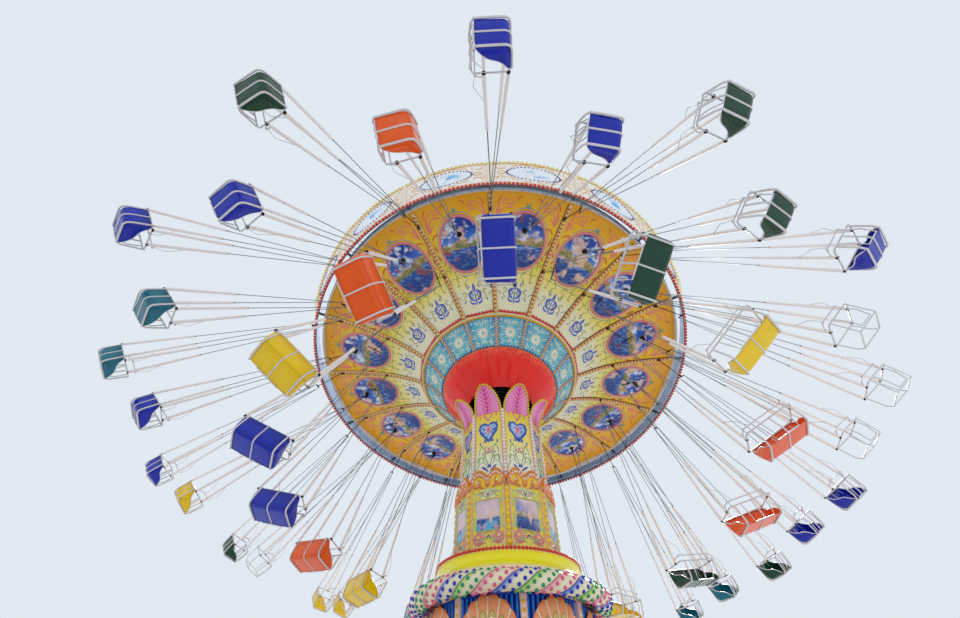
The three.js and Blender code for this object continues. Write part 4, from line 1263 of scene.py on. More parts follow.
VINES = both_ways([
    (0.06, 2.62, 70, 0.42, 1.0, -9.0, 0.022), (0.14, 2.95, 40, 0.36, 4.0, 11.0, 0.022),
    (0.4, 3.1, 120, 0.34, -4.0, -12.0, 0.022), (0.3, 3.3, 20, 0.34, 6.0, 12.0, 0.022),
    (0.1, 3.2, 80, 0.26, -4.0, -16.0, 0.022), (0.12, 3.42, 10, 0.4, 1.0, 7.0, 0.022),
    (0.5, 3.42, 70, 0.36, 2.0, 9.0, 0.022), (0.36, 2.72, 60, 0.3, -3.0, -14.0, 0.02),
    (0.22, 2.66, 20, 0.26, 6.0, 16.0, 0.02), (0.05, 3.36, 130, 0.14, 0.0, 12.0, 0.02),
    (0.56, 3.2, 60, 0.16, 6.0, 16.0, 0.02), (0.45, 3.62, 45, 0.22, -6.0, -18.0, 0.02),
])
LEAVES = both_ways([
    (0.2, 3.02, 110, 0.12, 0, 6, 0.05), (0.34, 3.12, -20, 0.11, 0, 6, 0.045),
    (0.42, 3.3, 170, 0.12, 0, 5, 0.045), (0.16, 3.28, 60, 0.1, 0, 6, 0.045),
    (0.26, 3.46, 100, 0.12, 0, 5, 0.045), (0.54, 3.55, 30, 0.11, 0, 6, 0.045),
    (0.24, 2.78, 80, 0.1, 0, 6, 0.04), (0.34, 2.88, 150, 0.1, 0, 6, 0.04),
    (0.1, 2.72, 120, 0.1, 0, 6, 0.04), (0.0, 3.42, 60, 0.12, 0, 4, 0.045),
])
TEAL_LEAVES = both_ways([
    (0.3, 3.56, 20, 0.16, 0, 8, 0.06), (0.46, 3.7, 60, 0.16, 0, 8, 0.05),
    (0.0, 5.06, 60, 0.13, 0, 3, 0.05), (0.0, 5.08, -30, 0.1, 0, 3, 0.05),
    (0.06, 5.02, 0, 0.12, 0, 0, 0.03), (0.0, 4.96, 90, 0.1, 0, 0, 0.025),
])
BLUE_FLEUR = both_ways([
    (0.008, 2.9, 88, 0.2, 0.0, 3.0, 0.085), (0.006, 2.54, 90, 0.34, 0.0, 0.0, 0.035),
    (0.02, 2.66, 20, 0.42, 3.0, 15.0, 0.1), (0.02, 2.6, -20, 0.24, 6.0, 17.0, 0.07),
    (0.03, 2.78, 35, 0.18, 5.0, 17.0, 0.05), (0.14, 2.98, 95, 0.08, 0.0, 0.0, 0.055),
    (0.3, 2.62, 70, 0.08, 0.0, 0.0, 0.045),
])
# Thin pale strokes set a little off the blue fleur's strokes: a painted highlight on the fleur.
FLEUR_HIGHLIGHT = BLUE_FLEUR * [1, 1, 1, 0.85, 1, 1.1, 0.2] + [0.004, 0.012, 0, 0, 0, 0, 0]
pink_wing = Finish("pink_wing", "f0846c", 0.28, clear=0.5).worn("b04a30", 0.3)
red_curl = Finish("red_curl", "dc5a24", 0.28, clear=0.5).worn("7a2410", 0.3)
olive_line = Finish("olive_line", "8c9044", 0.34, clear=0.4).worn("3a3410", 0.3)
leaf_green = Finish("leaf_green", "8fa040", 0.32, clear=0.4).worn("3a4a14", 0.3)
teal_leaf = Finish("teal_leaf", "4f9a94", 0.3, clear=0.5).worn("1c4a48", 0.3)
pale_blue = Finish("pale_blue", "2448c0", 0.3, clear=0.5).worn("27409a", 0.35)
fleur_painted_highlight = Finish("fleur_painted_highlight", "b4c8f2", 0.3, clear=0.5).worn("4a68b8", 0.2)
piece(
    "ceiling_panels", all_hoisted(repeated(
        bays, (bay_panel, ceiling_paint), (oval_disc, oval_paint), (oval_frame, pink_line),
        (strokes(wider(WINGS, 1.5), on_ceiling, 0.006), pink_wing),
        (strokes(wider(CURLS, 1.5), on_ceiling, 0.006), red_curl),
        (strokes(wider(VINES, 1.5), on_ceiling, 0.005), olive_line),
        (strokes(LEAVES, on_ceiling, 0.005), leaf_green),
        (strokes(TEAL_LEAVES, on_ceiling, 0.006), teal_leaf),
        (strokes(BLUE_FLEUR, on_ceiling, 0.006), pale_blue),
        # The fleur's painted highlight.
        (strokes(FLEUR_HIGHLIGHT, on_ceiling, 0.01), fleur_painted_highlight),
    )), "canopy", ("ceiling",),
)

# Ribs and rim: gilt strips with brown edges and red beads over the joints between panels,
# and a pale fascia, flecked with grey, round the ceiling's edge; its pale paint is a painted highlight
# along that edge.
RIB_PITCH = 0.105
RIB_OUTLINE = [
    (-0.065, -0.03), (0.065, -0.03), (0.065, 0.018), (0.05, 0.024), (0.042, 0.014), (-0.042, 0.014),
    (-0.05, 0.024), (-0.065, 0.018),
]
RIM_PROFILE = [
    (5.468, 2.35), (5.466, 2.136), (5.472, 2.128), (5.484, 2.128), (5.49, 2.14), (5.505, 2.146),
    (5.512, 2.155), (5.512, 2.35), (5.505, 2.36), (5.474, 2.36),
]
rib_r = np.linspace(CEILING_IN + 0.02, RIM_R - 0.1, 34)
rib_path = round_axis(rib_r, 0.0, underside(rib_r, BAY / 2))
rib = carried(rib_path, RIB_OUTLINE, (0, 0, -1))
bead_r = np.arange(CEILING_IN + 0.08, RIM_R - 0.12, RIB_PITCH)
bead_places = round_axis(bead_r, 0.0, underside(bead_r, BAY / 2) - 0.012)
rib_beads = placed(dome(0.032, 0.026, 8, 3), standing(bead_places, (0, 0, -1)))
rib_coat = Finish("rib_paint", "7a3c10", 0.3, clear=0.6)
girth = rib_coat.place("UV")[0]
rib_coat.over("f6d27a", girth.between(0.2, 0.278, 0.003))
rib_coat.over("fbeeb8", girth.between(0.18, 0.192, 0.002) + girth.between(0.286, 0.298, 0.002))
rib_paint = rib_coat.worn("5a2c0c", 0.3)
bead_red = Finish("bead_red", "d8462a", 0.16, clear=0.9).worn("701808", 0.3, scale=5.0)
# The fascia's pale paint all round: a painted highlight along the ceiling's edge.
rim_coat = Finish("rim_paint", "ecebe6", 0.24, clear=0.7)
rim_coat.over("9aa6bc", rim_coat.fleck(9.0, 5.0).rising(0.54, 0.62) * 0.5)
rim_paint = rim_coat.worn("505868", 0.3)
piece(
    "ribs_and_rim", all_hoisted([
        *repeated(ribs, (rib, rib_paint), (rib_beads, bead_red)), (turned(RIM_PROFILE, 128), rim_paint),
    ]), "canopy",
)

# Bowl and cove: sixteen turquoise panels between striped ropes, a ring of navy beads, and
# under it the red bowl, spun in high gloss and open round the tilting head.
COVE_LINE = np.array([
    (1.655, 0.862), (1.7, 0.885), (1.76, 0.945), (1.87, 1.095), (2.02, 1.25), (2.2, 1.4), (2.25, 1.43),
])
BOWL_R = 1.628
BOWL_PROFILE = [
    (1.628, 0.835), (1.605, 0.806), (1.545, 0.738), (1.475, 0.66), (1.4, 0.578), (1.32, 0.496),
    (1.24, 0.414), (1.165, 0.34), (1.09, 0.264), (1.01, 0.185), (0.94, 0.116), (0.905, 0.083),
    (0.888, 0.066), (0.88, 0.068), (0.88, 0.1), (0.9, 0.128), (1.17, 0.41), (1.3, 0.535), (1.395, 0.64),
    (1.5, 0.75), (1.6, 0.85), (1.62, 0.86),
]
COVE_BACK = [
    (1.64, 0.86), (1.74, 0.93), (1.87, 1.12), (2.03, 1.28), (2.2, 1.425), (2.32, 1.428), (2.325, 1.45),
    (2.19, 1.45), (1.86, 1.185), (1.63, 0.9),
]
cove_run = travelled(COVE_LINE)
cove_long = cove_run[-1]
cove_at = np.linspace(0, cove_long, 15)
cove_r = np.interp(cove_at, cove_run, COVE_LINE[:, 0])
cove_z = np.interp(cove_at, cove_run, COVE_LINE[:, 1])


def on_cove(px, py, lift):
    """A cove panel's face, domed between the ropes: x runs across and y out along its curve."""
    reach, height = np.interp(py, cove_at, cove_r), np.interp(py, cove_at, cove_z)
    angle = px / reach
    across = np.clip(np.cos(math.pi * angle / BAY), 0, 1) ** 0.7
    along = np.clip(np.sin(math.pi * py / cove_long), 0, 1) ** 0.4
    proud = (0.035 * across * along + lift) * 0.7
    return round_axis(reach - proud, angle, height - proud)


angle, along = np.meshgrid(np.linspace(-0.49, 0.49, 13) * BAY, cove_at)
cove_px = angle * np.interp(along, cove_at, cove_r)
cove_panel = plated(on_cove(cove_px, along, 0.0), 0.008, np.stack([cove_px, along], -1))
cove_coat = Finish("cove_paint", "45bcd0", 0.22, clear=0.8)
x, y, z = cove_coat.place("UV")
cove_coat.over("1f8cc4", abs(x).rising(0.16, 0.34) * 0.8 + y.rising(0.6, 0.9) * 0.5)
cove_coat.over("9adcd8", (x * 1.3).across(y - 0.4).falling(0.06, 0.26) * 0.6)
filigree = cove_coat.fleck(14.0, 4.0)
cove_coat.over("e8dca0", abs(filigree - 0.5).falling(0.012, 0.03) * 0.75)
cove_paint = cove_coat.worn("0c4060", 0.2)
petals_round = [
    (0.04 * math.cos(t), 0.42 + 0.045 * math.sin(t), math.degrees(t), 0.13, 0, 0, 0.05) for t in evenly(12)
]
SUNBURST = np.vstack([petals_round, both_ways([
    (0.1, 0.66, 70, 0.14, -6, -24, 0.03), (0.02, 0.62, 80, 0.18, 0, -14, 0.03),
    (0.12, 0.14, -10, 0.16, 6, 24, 0.03), (0.02, 0.22, -80, 0.15, 0, 16, 0.03),
    (0.2, 0.36, -60, 0.16, 6, 20, 0.025), (0.2, 0.5, 60, 0.16, -6, -20, 0.025),
    (0.26, 0.7, 40, 0.12, 8, 20, 0.025), (0.16, 0.06, 20, 0.1, 0, 10, 0.025),
])])
rope_path = round_axis(cove_r - 0.012, 0.0, cove_z - 0.018)
rope = carried(rope_path, circle(0.032, 8), (0, 0, -1))
rope_coat = Finish("rope_paint", "f2d9a0", 0.26, clear=0.6)
x, y, z = rope_coat.place("UV")
stripe = abs(((y * 13.0 + x * 10.0) % 1.0) - 0.5)
rope_coat.over("c4442c", stripe.falling(0.16, 0.24))
rope_coat.over("8a3c14", stripe.between(0.24, 0.28, 0.02))
rope_paint = rope_coat.worn("5a2c0c", 0.3)
bowl_coat = Finish("bowl_paint", "ff1e0a", 0.14, clear=0.7)
x, y, z = bowl_coat.place("UV")
seam = abs(((x / (BAY * BOWL_R)) % 1.0) - 0.5)
# Pale lace near the bowl's rim: a painted reflection of the ceiling in the gloss.
painted_rim_reflection = abs(bowl_coat.fleck(12.0, 5.0) - 0.5).falling(0.02, 0.06)
bowl_coat.over("ff8a5c", y.falling(0.06, 0.3) * painted_rim_reflection * 0.7)
bowl_coat.over("7c0a06", seam.falling(0.004, 0.008))
bowl_paint = bowl_coat.worn("6a0c04", 0.12, depth=0.0002)
gold_ring = circle(0.034, 10) + (2.262, 1.424)
lip_ring = circle(0.014, 8) + (1.622, 0.832)
navy_beads = ring_of(ball(0.03, 8, 6), 112, 1.645, 0.842)
spoke_path = [(0, -0.5205, 0.925), (0, -1.0, 0.925), (0, -1.62, 0.925)]
spoke = carried(spoke_path, oblong(0.03, 0.035), (0, 0, 1))
piece(
    "bowl_and_cove", all_hoisted([
        (turned(BOWL_PROFILE, 128), bowl_paint), (turned(COVE_BACK, 96), cream_gloss),
        *repeated(bays, (cove_panel, cove_paint), (strokes(SUNBURST, on_cove, 0.006), cream_gloss)),
        (placed(rope, ribs), rope_paint), (turned(gold_ring, 128), gold_leaf),
        (turned(lip_ring, 128), gold_leaf), (navy_beads, blue_gloss),
        (placed(spoke, about_axis(evenly(4, math.pi / 16))), grey_steel),
    ]), "canopy", ("centre_bowl",),
)

# Rounding boards: sixteen crowned boards that lean out round the canopy, cream with a blue
# cartouche ringed in blue glass, bulbs on the crown, a red rope of beads at the foot, framed behind.
BOARD_LOW_R = 5.625
BOARD_FLARE = 0.335
BOARD_LOW = 1.956
BOARD_TALL = 0.966
BOARD_CROWN = 0.13
BOARD_MEAN_R = 5.85
BOARD_OVAL_AT = 0.52
BULBS = 20
ROPE_BEADS = 21


def on_board(px, py, lift):
    """A board's outer face: x runs round the canopy from its middle and y up its slope."""
    up = py / BOARD_TALL
    angle = px / BOARD_MEAN_R
    reach = BOARD_LOW_R + BOARD_FLARE * up + 0.05 + lift
    height = BOARD_LOW + py + BOARD_CROWN * abs(np.cos(math.pi * angle / BAY)) * up**2
    return round_axis(reach, angle, height)


def along_board(count):
    """That many places evenly along a board, measured from its middle."""
    return (np.arange(count) + 0.5 - count / 2) / count * 2 * board_half


board_half = 0.4995 * BAY * BOARD_MEAN_R
px, py = np.meshgrid(np.linspace(-1, 1, 21) * board_half, np.linspace(0, BOARD_TALL, 11))
board_laid = np.stack([px, py], -1)
board_front = plated(on_board(px, py, -0.001), 0.022, board_laid)
board_back = plated(on_board(px, py, -0.0245), 0.0245, board_laid)
board_coat = Finish("board_paint", "fffaf0", 0.26, clear=0.6)
x, y, z = board_coat.place("UV")
oval = (x / 0.66).across((y - BOARD_OVAL_AT) / 0.26)
board_coat.over("fbe2c8", abs(x).rising(0.85, 1.1) * 0.6)
veins = abs(board_coat.fleck(5.0, 4.0) - 0.5).falling(0.01, 0.03)
board_coat.over("f0b48c", veins * oval.rising(1.15, 1.2) * 0.7)
board_coat.over("f6ead8", oval.falling(1.13, 1.15))
board_coat.over("f4f8fb", oval.falling(1.0, 1.02))
board_coat.over("4fb4ee", oval.falling(0.2, 0.85) * board_coat.fleck(2.2, 4.0).rising(0.5, 0.56))
board_coat.over("ffffff", oval.falling(0.7, 0.9) * board_coat.fleck(4.0, 5.0).rising(0.52, 0.6) * 0.9)
board_coat.over("d8452c", y.between(0.92, 0.945, 0.003))
board_coat.over("efb548", y.between(0.95, 0.975, 0.003) + y.between(0.02, 0.06, 0.003))
board_coat.over("e8702c", y.between(0.07, 0.085, 0.003))
board_paint = board_coat.worn("a88c60", 0.2)
BOARD_SCROLLS = both_ways([
    (0.7, 0.5, 60, 0.34, -4, -13, 0.045), (0.7, 0.54, -60, 0.34, 4, 13, 0.045),
    (0.98, 0.2, 100, 0.36, 4, 12, 0.04), (0.98, 0.82, -100, 0.3, -4, -14, 0.04),
    (0.3, 0.84, 10, 0.4, -1, -9, 0.035), (0.3, 0.2, -10, 0.4, 1, 9, 0.035),
    (0.06, 0.85, 20, 0.24, 3, -12, 0.04), (0.06, 0.18, -20, 0.24, -3, 12, 0.04),
])
around_oval = evenly(40)
stud_x, stud_y = 0.7 * np.sin(around_oval), BOARD_OVAL_AT + 0.28 * np.cos(around_oval)
stud_places = on_board(stud_x, stud_y, 0.0)
stud_out = on_board(stud_x, stud_y, 0.05) - stud_places
board_studs = placed(dome(0.026, 0.018, 7, 2), standing(stud_places, stud_out))
bulb_places = on_board(along_board(BULBS), BOARD_TALL, 0.008) - (0, 0, 0.016)
bulbs = placed(ball(0.05, 8, 6), standing(bulb_places, (0, 0, 1)))
rope_places = on_board(along_board(ROPE_BEADS), 0.0, 0.002)
board_rope = placed(ball(0.044, 7, 5), standing(rope_places + (0, 0, 0.004), (0, 0, 1)))
drops = placed(ball(0.022, 6, 5), standing(rope_places + (0, 0, 0.01), (0, 0, 1)))
batten_y = np.linspace(0.0, BOARD_TALL, 7)
batten_path = on_board(0.0, batten_y, 0.004)
batten_path[:, 2] = BOARD_LOW + batten_y
batten_outline = [
    (-0.05, -0.01), (0.05, -0.01), (0.05, 0.012), (0.03, 0.024), (-0.03, 0.024), (-0.05, 0.012),
]
board_batten = carried(batten_path, batten_outline, (0, -1, 0))
bulb_cream = Finish("bulb_cream", "fae68e", 0.12, clear=0.9).worn("c8a050", 0.2, scale=6.0)
back_coat = Finish("board_back", "6c82aa", 0.3, metal=0.25, clear=0.5)
x, y, z = back_coat.place("UV")
back_coat.over("3c5484", abs(x).rising(1.0, 1.04) + y.falling(0.03, 0.05) + y.rising(0.9, 0.94))
# A pale line near the back's lower edge: a painted highlight.
back_coat.over("d8e2ee", y.between(0.07, 0.12, 0.01) * 0.8)
back_coat.over("a8b4c6", back_coat.fleck(5.0, 6.0, "UV").rising(0.5, 0.62) * 0.6)
back_coat.over("45608c", abs(abs(x) - 0.55).falling(0.02, 0.03) + abs(y - 0.5).falling(0.02, 0.03))
back_paint = back_coat.worn("2c3850", 0.4, 160.0)
arm_path = [(0, -5.5003, 2.202), (0, -5.6, 2.202), (0, -5.74, 2.202)]
arm = carried(arm_path, oblong(0.025, 0.03), (0, 0, 1))
piece(
    "rounding_boards_dressed", all_hoisted([
        *repeated(
            bays, (board_front, board_paint), (board_back, back_paint),
            (strokes(BOARD_SCROLLS, on_board, 0.008), gold_leaf), (board_studs, jewel_blue),
            (bulbs, bulb_cream), (board_rope, red_gloss), (drops, bulb_cream),
        ),
        *repeated(ribs, (board_batten, cream_gloss), (arm, grey_steel)),
    ]), "canopy", ("rounding_boards",),
)

# Roof: sixteen sheet gores with standing seams over the beams, a ring and a small finial,
# in cream paint weathered grey in patches, with red paint at the crown.
ROOF_PROFILE = [
    (5.48, 2.4723), (5.56, 2.492), (5.56, 2.522), (4.0, 2.585), (2.4, 2.645), (0.52, 2.72),
    (0.44, 2.79), (0.36, 2.9), (0.28, 2.955), (0.12, 2.985), (0.06, 3.02), (0.05, 3.04), (0.02, 3.055),
    (0.02, 3.0), (0.27, 2.925), (0.5, 2.68), (2.4, 2.605), (4.0, 2.545),
]
roof = turned(ROOF_PROFILE, BAYS * 6, 0.0)
seam_r = np.linspace(0.55, 5.52, 12)
seam_z = np.interp(seam_r, [0.52, 2.4, 4.0, 5.56], [2.72, 2.645, 2.585, 2.522])
seam_outline = oblong(0.012, 0.02) + (0, 0.01)
seams = placed(carried(round_axis(seam_r, 0.0, seam_z), seam_outline, (0, 0, 1)), ribs)
roof_coat = Finish("roof_paint", "d6cebc", 0.4, clear=0.3)
x, y, z = roof_coat.place()
roof_coat.over("b4ac9c", roof_coat.fleck(1.2, 5.0).rising(0.45, 0.7) * 0.7)
roof_coat.over("d64a34", x.across(y).falling(0.5, 0.52) * 0.8)
roof_paint = roof_coat.worn("5a5044", 0.4)
piece(
    "roof", all_hoisted([(roof, roof_paint), (seams, cream_gloss)]),
    "canopy", ("roof_cover",),
)

# Hangers: for each chair a black steel lug on a round base under the ceiling, with a bolt
# through it, set square to the plane that the chair's chains swing in.
CHAIR_RINGS = {
    "outer": (5.005, 0.0, (39.0, -0.5, 9.4), (-1.6, 0.0, 5.4)),
    "middle": (4.47, 0.5, (36.7, -4.3, 4.4), (-6.2, 4.2, -2.2)),
    "double": (3.52, 0.0, (15.1, 9.2, -2.6), (-4.9, 3.7, -0.9)),
}
EYE_DROP = 0.11


def chair_frames(radius, offset, swing, lag):
    """For a ring's sixteen chairs: the matrices of their own frames in the canopy's frame, with Z up the
    chains and X forwards, and the direction of each pin. Swing and lag are a mean, with a cosine and a
    sine of the heading added; the heading counts from the front towards -X."""
    heading = (np.arange(BAYS) + offset) * BAY
    swing, lag = (
        np.radians(mean + c * np.cos(heading) + s * np.sin(heading)) for mean, c, s in (swing, lag)
    )
    outward = stacked(-np.sin(heading), -np.cos(heading), 0.0)
    travel = stacked(-np.cos(heading), np.sin(heading), 0.0)
    down = outward * (np.sin(swing) * np.cos(lag))[:, None] + travel * np.sin(lag)[:, None]
    down[:, 2] = -np.cos(swing) * np.cos(lag)
    ahead = travel - down * (travel * down).sum(1)[:, None]
    ahead /= np.linalg.norm(ahead, axis=1)[:, None]
    frames = np.tile(np.eye(4), (BAYS, 1, 1))
    frames[:, :3, 0], frames[:, :3, 1], frames[:, :3, 2] = ahead, np.cross(-down, ahead), -down
    frames[:, :3, 3] = outward * radius
    frames[:, 2, 3] = underside(radius, -heading) - EYE_DROP
    axis = np.cross([0, 0, -1.0], down)
    return frames, axis / np.linalg.norm(axis, axis=1)[:, None]


def bar(path, radius, sides=6, upright=(0.0, 0.0, 1.0)):
    """A round bar along a few points."""
    return carried(path, circle(radius, sides), upright)


lug_path = [(-0.0275, 0, level) for level in (-0.045, -0.038, -0.02, 0.06, 0.112)]
lug_size = [(1, 0.4), (1, 0.75), (1, 1), (1, 1), (1, 1.25)]
lug_plate = carried(lug_path, oblong(0.015, 0.045), (0, 1, 0), lug_size)
bolt = bar([(-0.058, 0, 0), (0.03, 0, 0)], 0.013, 8)
bolt_head = bar([(0.03, 0, 0), (0.042, 0, 0)], 0.022, 6)
lug_base = placed(dome(0.075, 0.022, 14, 2), standing([(0, 0, 0.112)], (0, 0, -1)))
hanger = joined(lug_plate, bolt, bolt_head, lug_base)
chair_places = {ring: chair_frames(*sizes) for ring, sizes in CHAIR_RINGS.items()}
hangers = []
for frames, axis in chair_places.values():
    turns = about_axis(np.arctan2(-axis[:, 1], -axis[:, 0]))
    turns[:, :3, 3] = frames[:, :3, 3]
    hangers.append(placed(hanger, turns))
black_steel = Finish("black_steel", "16181c", 0.36, metal=0.4, clear=0.3).worn("6a3c1c", 0.3)
piece("hangers", [(hoisted(joined(*hangers)), black_steel)], "canopy")

# Chairs: a moulded glass fibre bucket in a tube frame on four chains, whose lower ends run in
# white sleeves; the chains meet on a spreader under a long link from the hanger. Double chairs
# are nearly twice as wide, and four frames hang bare. Each rides on its own body.
RING_LEVEL = -4.9
RING_REAR = -0.21
RING_FRONT = 0.32
LINK_END = -0.84
CHAIN_PITCH = 0.055
SLEEVE = 1.3
LINK_WIDE = 0.0125
LINK_NARROW = 0.0045
TUBE_BEND = 0.06
WIDTHS = {"single": 0.56, "double": 1.04}
SPREADS = {"single": 0.12, "double": 0.21}
RING_PAINTS = {
    "outer": "navy green navy teal navy green yellow orange "
             "teal navy teal green navy bare navy green",
    "middle": "orange navy teal navy yellow bare yellow green "
              "orange yellow teal navy bare bare green navy",
    "double": "navy orange yellow navy navy orange yellow teal "
              "green navy yellow green orange orange yellow green",
}
BUCKET_MIDDLE = [
    (-0.232, 0.0), (-0.226, -0.1), (-0.222, -0.22), (-0.214, -0.295), (-0.195, -0.342), (-0.15, -0.366),
    (-0.08, -0.368), (0.06, -0.368), (0.18, -0.366), (0.232, -0.364), (0.256, -0.368),
]
BUCKET_EDGE = [
    (-0.215, 0.0), (-0.18, -0.03), (-0.14, -0.075), (-0.1, -0.115), (-0.06, -0.14), (-0.01, -0.16),
    (0.05, -0.178), (0.11, -0.205), (0.17, -0.255), (0.215, -0.31), (0.248, -0.358),
]


def chain(start, end):
    """A chain of oval links: a four-sided tube whose wide and narrow ways change over at each link."""
    start, end = np.asarray(start, float), np.asarray(end, float)
    count = int(np.linalg.norm(end - start) / CHAIN_PITCH * 2)
    share = np.linspace(0, 1, count + 1)[:, None]
    wide = np.where(np.arange(count + 1) % 2, LINK_WIDE, LINK_NARROW)
    section = [(1, 0), (0, 1), (-1, 0), (0, -1)]
    sizes = np.stack([wide, LINK_WIDE + LINK_NARROW - wide], -1)
    return carried(start + (end - start) * share, section, (1, 0, 0), sizes)


def hanging(kind):
    """One chair's link, spreader, chains and sleeves, as black parts, chain parts and white parts."""
    spread, half = SPREADS[kind], WIDTHS[kind] / 2
    level = LINK_END - 0.013
    black = [
        bar([(0, 0, -0.05), (0, 0, -0.4), (0, 0, LINK_END)], 0.011, 6, (1, 0, 0)),
        bar([(0, -spread, level), (0, 0, level), (0, spread, level)], 0.014, 8),
        bar([(0, 0, LINK_END - 0.04), (0, 0, LINK_END + 0.02)], 0.024, 8, (1, 0, 0)),
    ]
    chains, white = [], []
    for side in (-1, 1):
        for foot in (RING_REAR + 0.02, 0.15):
            top = np.array([0, side * (spread - 0.013), level])
            end = np.array([foot, side * half, RING_LEVEL])
            along = (end - top) / np.linalg.norm(end - top)
            join = end - along * SLEEVE
            chains.append(chain(top, join))
            white.append(bar([join - along * 0.01, join, end - along * 0.02, end], 0.028, 8, (1, 0, 0)))
            black.append(bar([join - along * 0.03, join - along * 0.005], 0.018, 7, (1, 0, 0)))
            black.append(bar([end - along * 0.015, end + along * 0.01], 0.0285, 8, (1, 0, 0)))
    return joined(*black), joined(*chains), joined(*white)


def arm_ring(half):
    """The tube ring at arm height: straight sides joined by four rounded corners."""
    corner = np.linspace(0, math.pi / 2, 5)[:-1] + 0.1
    front, rear, side = RING_FRONT - TUBE_BEND, RING_REAR + TUBE_BEND, half - TUBE_BEND
    path = []
    for quarter, (x, y) in enumerate([(front, side), (rear, side), (rear, -side), (front, -side)]):
        turns = corner + quarter * math.pi / 2
        path += [(x + TUBE_BEND * math.cos(t), y + TUBE_BEND * math.sin(t), RING_LEVEL) for t in turns]
    return carried(path, circle(0.0135, 7), (0, 0, 1), closed=True)


def mirrored(rows, *middle):
    """A path over a chair from side to side: rows hold one side from the edge inwards and middle any
    points between the two sides, with heights counted from the arm ring."""
    rows = np.asarray(rows, float)
    return np.vstack([rows * (1, -1, 1), *middle, rows[::-1]]) + (0, 0, RING_LEVEL)


def tube_frame(kind):
    """The arm ring, the lap bar, its grips, the front loop and the guard rods of one chair."""
    half = WIDTHS[kind] / 2
    inset = half * 0.5
    lap_side = [(0.12, half, 0.012), (0.2, half - 0.02, 0.1), (0.27, half - 0.08, 0.13)]
    lap = mirrored(lap_side, (0.27, 0, 0.13))
    front_side = [(RING_FRONT, inset, 0), (RING_FRONT + 0.01, inset, -0.2), (0.27, inset * 0.9, -0.37)]
    front = mirrored(front_side)
    parts = [arm_ring(half), bar(lap, 0.011, 7), bar(front, 0.011, 7, (1, 0, 0.3))]
    for side in (-1, 1):
        grip = (0.27, side * (half - 0.08), RING_LEVEL + 0.13)
        guard = np.array([(0.15, half, 0.55), (0.3, half * 0.8, 0.32), (0.27, half * 0.6, 0.13)])
        parts.append(placed(ball(0.022, 8, 6), standing([grip], (0, 0, 1))))
        parts.append(bar(guard * (1, side, 1) + (0, 0, RING_LEVEL), 0.006, 5))
    return joined(*parts)


def shell_line(level, rows):
    """A bucket's profile, read at levels from 0 at the top lip of its back to 1 at its front lip."""
    points = np.array(rows)
    share = np.linspace(0, 1, len(points))
    return np.stack([np.interp(level, share, points[:, k]) for k in (0, 1)], -1)


def bucket(kind):
    """The moulded shell of one chair and its rolled lip. Across, the section is a squared-off bow: a power
    of the sine carries it over to the side, and the same power of the cosine up to the edge."""
    half = WIDTHS[kind] / 2 - 0.03
    level = np.linspace(0, 1, 33)
    sweep = np.linspace(-1, 1, 23) * math.pi / 2
    power = 0.42 if kind == "single" else 0.3
    y = half * np.sign(sweep) * abs(np.sin(sweep)) ** power
    climb = 1 - np.clip(np.cos(sweep), 0, 1) ** power
    low, high = shell_line(level, BUCKET_MIDDLE)[:, None], shell_line(level, BUCKET_EDGE)[:, None]
    line = low + (high - low) * climb[None, :, None]
    back_round = 0.17 * np.clip(1 - level / 0.13, 0, 1) ** 2
    front_round = 0.13 * np.clip((level - 0.86) / 0.14, 0, 1) ** 2
    taper = ((1 - 0.05 * level) * (1 - back_round - front_round))[:, None]
    grid = np.stack([line[..., 0], y * taper, line[..., 1] + RING_LEVEL], -1)
    laid = stacked(y[None], level[:, None])
    shell = plated(grid[::-1], 0.006, laid[::-1])
    left, right = grid[::-1, 0], grid[:, -1]
    lip = bar(np.vstack([left[:-1], grid[0, :-1], right]), 0.0095, 6, (0.3, 0.1, 1.0))
    return shell, lip


def bucket_bars(kind):
    """Three bars from the rear tube, down and under the bucket and up to the front tube."""
    line = shell_line(np.linspace(0, 1, 21), BUCKET_MIDDLE) + [0, RING_LEVEL]
    away = np.gradient(line, axis=0)
    away = np.stack([away[:, 1], -away[:, 0]], -1) / np.linalg.norm(away, axis=1)[:, None]
    line = line + away * 0.008
    rear_end = (RING_REAR - 0.014, RING_LEVEL + 0.012)
    front_end = [(0.3, RING_LEVEL - 0.3), (RING_FRONT + 0.014, RING_LEVEL - 0.01)]
    line = np.vstack([rear_end, line, front_end])
    reach = WIDTHS[kind] / 2 - (0.07 if kind == "single" else 0.1)
    spots = [(-reach, 0.0165), (0.0, 0.0145), (reach, 0.0165)]
    return joined(*(
        carried(stacked(line[:, 0], spot, line[:, 1]), circle(size, 6), (0, 1, 0))
        for spot, size in spots
    ))


def bare_bars():
    """The bars that are left where a frame hangs without its bucket."""
    rows = []
    for spot in (-0.235, 0.235):
        loop = [
            (RING_REAR, spot, 0), (RING_REAR - 0.005, spot, -0.29), (-0.15, spot, -0.385),
            (0.24, spot, -0.39), (RING_FRONT, spot, 0),
        ]
        rows.append(bar(np.add(loop, (0, 0, RING_LEVEL)), 0.0115, 7, (0, 1, 0)))
    cross = np.add([(-0.15, -0.235, -0.385), (-0.15, 0.235, -0.385)], (0, 0, RING_LEVEL))
    rows += [bar(cross, 0.011, 7), bar(cross + (0.39, 0, -0.005), 0.011, 7)]
    return joined(*rows)


def turned_eye(twist):
    """The flat eye on top of the link, turned by its twist so that it lies against the hanger's lug."""
    eye_path = [(0, 0, level) for level in (-0.09, -0.07, -0.02, 0.014, 0.026, 0.03)]
    eye_size = [(0.5, 1), (0.9, 1), (1, 1), (1, 1), (0.7, 1), (0.3, 1)]
    eye = carried(eye_path, oblong(0.022, 0.012), (0, 1, 0), eye_size)
    return placed(eye, about_axis(twist + math.pi / 2))


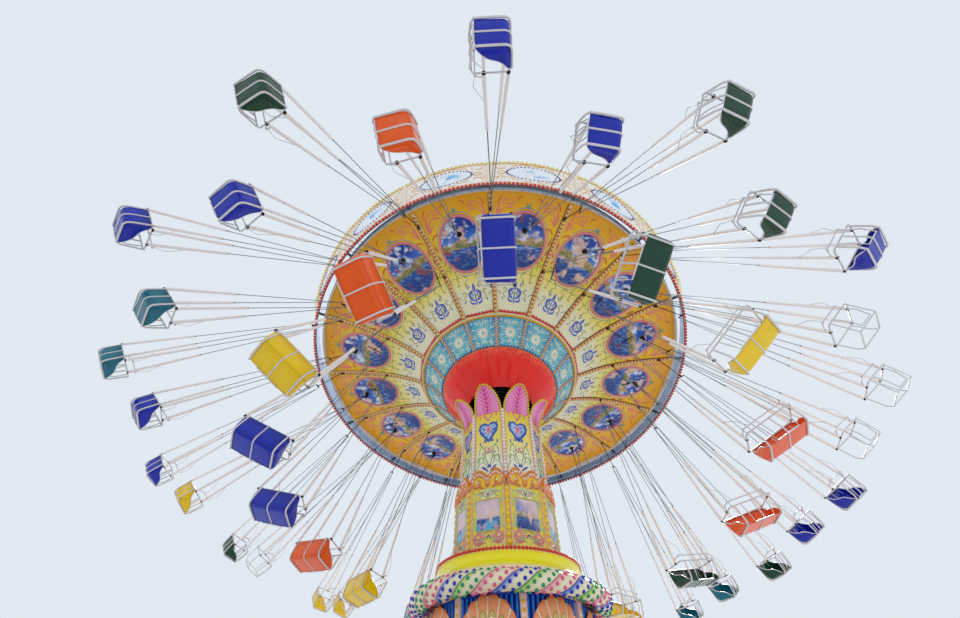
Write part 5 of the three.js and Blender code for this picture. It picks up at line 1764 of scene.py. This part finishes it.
CHAIR_CODES = {
    "navy": ("0822b0", "040c50"), "orange": ("ff6010", "b83808"), "yellow": ("ffd400", "b07c06"),
    "green": ("024028", "011c10"), "teal": ("047084", "022e38"),
}
chair_paints = {}
for colour, (code, dark) in CHAIR_CODES.items():
    coat = Finish(f"chair_{colour}_gloss", code, 0.2, clear=0.6)
    x, y, z = coat.place("UV")
    shade = y.between(0.36, 0.42, 0.02) * 0.35 + y.falling(0.02, 0.16) * 0.4 + y.rising(0.8, 0.98) * 0.4
    coat.over(dark, shade)
    coat.over(dark, coat.fleck(2.2, 5.0, "UV").rising(0.5, 0.8) * 0.35)
    coat.raised(abs((x * 9.0) % 1.0 - 0.5).falling(0.42, 0.5) * y.rising(0.4, 0.45) * -0.002)
    chair_paints[colour] = coat.worn(dark, 0.25, 300.0)
chain_steel = Finish("chain_steel", "8a9098", 0.4, metal=0.3).worn("3a3e46", 0.3)
sleeve_white = Finish("sleeve_white", "fff8f2", 0.4).worn("e6cabc", 0.08, scale=1.0, depth=0.0)
frame_cream = Finish("frame_cream", "dedcdc", 0.26, metal=0.2, clear=0.5).worn("8a7468", 0.3)
strap_cream = Finish("strap_cream", "e2dedc", 0.32, metal=0.1).worn("8a7454", 0.3)
dressed_kinds = {}
for kind in ("single", "double"):
    black, chains, white = hanging(kind)
    shell, lip = bucket(kind)
    dressed_kinds[kind] = (black, chains, white, joined(tube_frame(kind), lip), bucket_bars(kind), shell)
for ring, (frames, axis) in chair_places.items():
    twist = np.arctan2((axis * frames[:, :3, 1]).sum(1), (axis * frames[:, :3, 0]).sum(1))
    for number, colour in enumerate(RING_PAINTS[ring].split()):
        kind = "double" if ring == "double" else "single"
        black, chains, white, tubes, bars, shell = dressed_kinds[kind]
        eyed = joined(black, turned_eye(twist[number]))
        parts = [(eyed, black_steel), (chains, chain_steel), (white, sleeve_white)]
        if colour == "bare":
            parts.append((joined(tube_frame(kind), bare_bars()), frame_cream))
        else:
            parts += [(tubes, frame_cream), (bars, strap_cream), (shell, chair_paints[colour])]
        node = f"chair_{ring}_{number:02d}"
        dressed = all_hoisted(repeated(frames[number : number + 1], *parts))
        piece(f"{node}_dressed", dressed, f"{node}_body", (node,), 50.0)
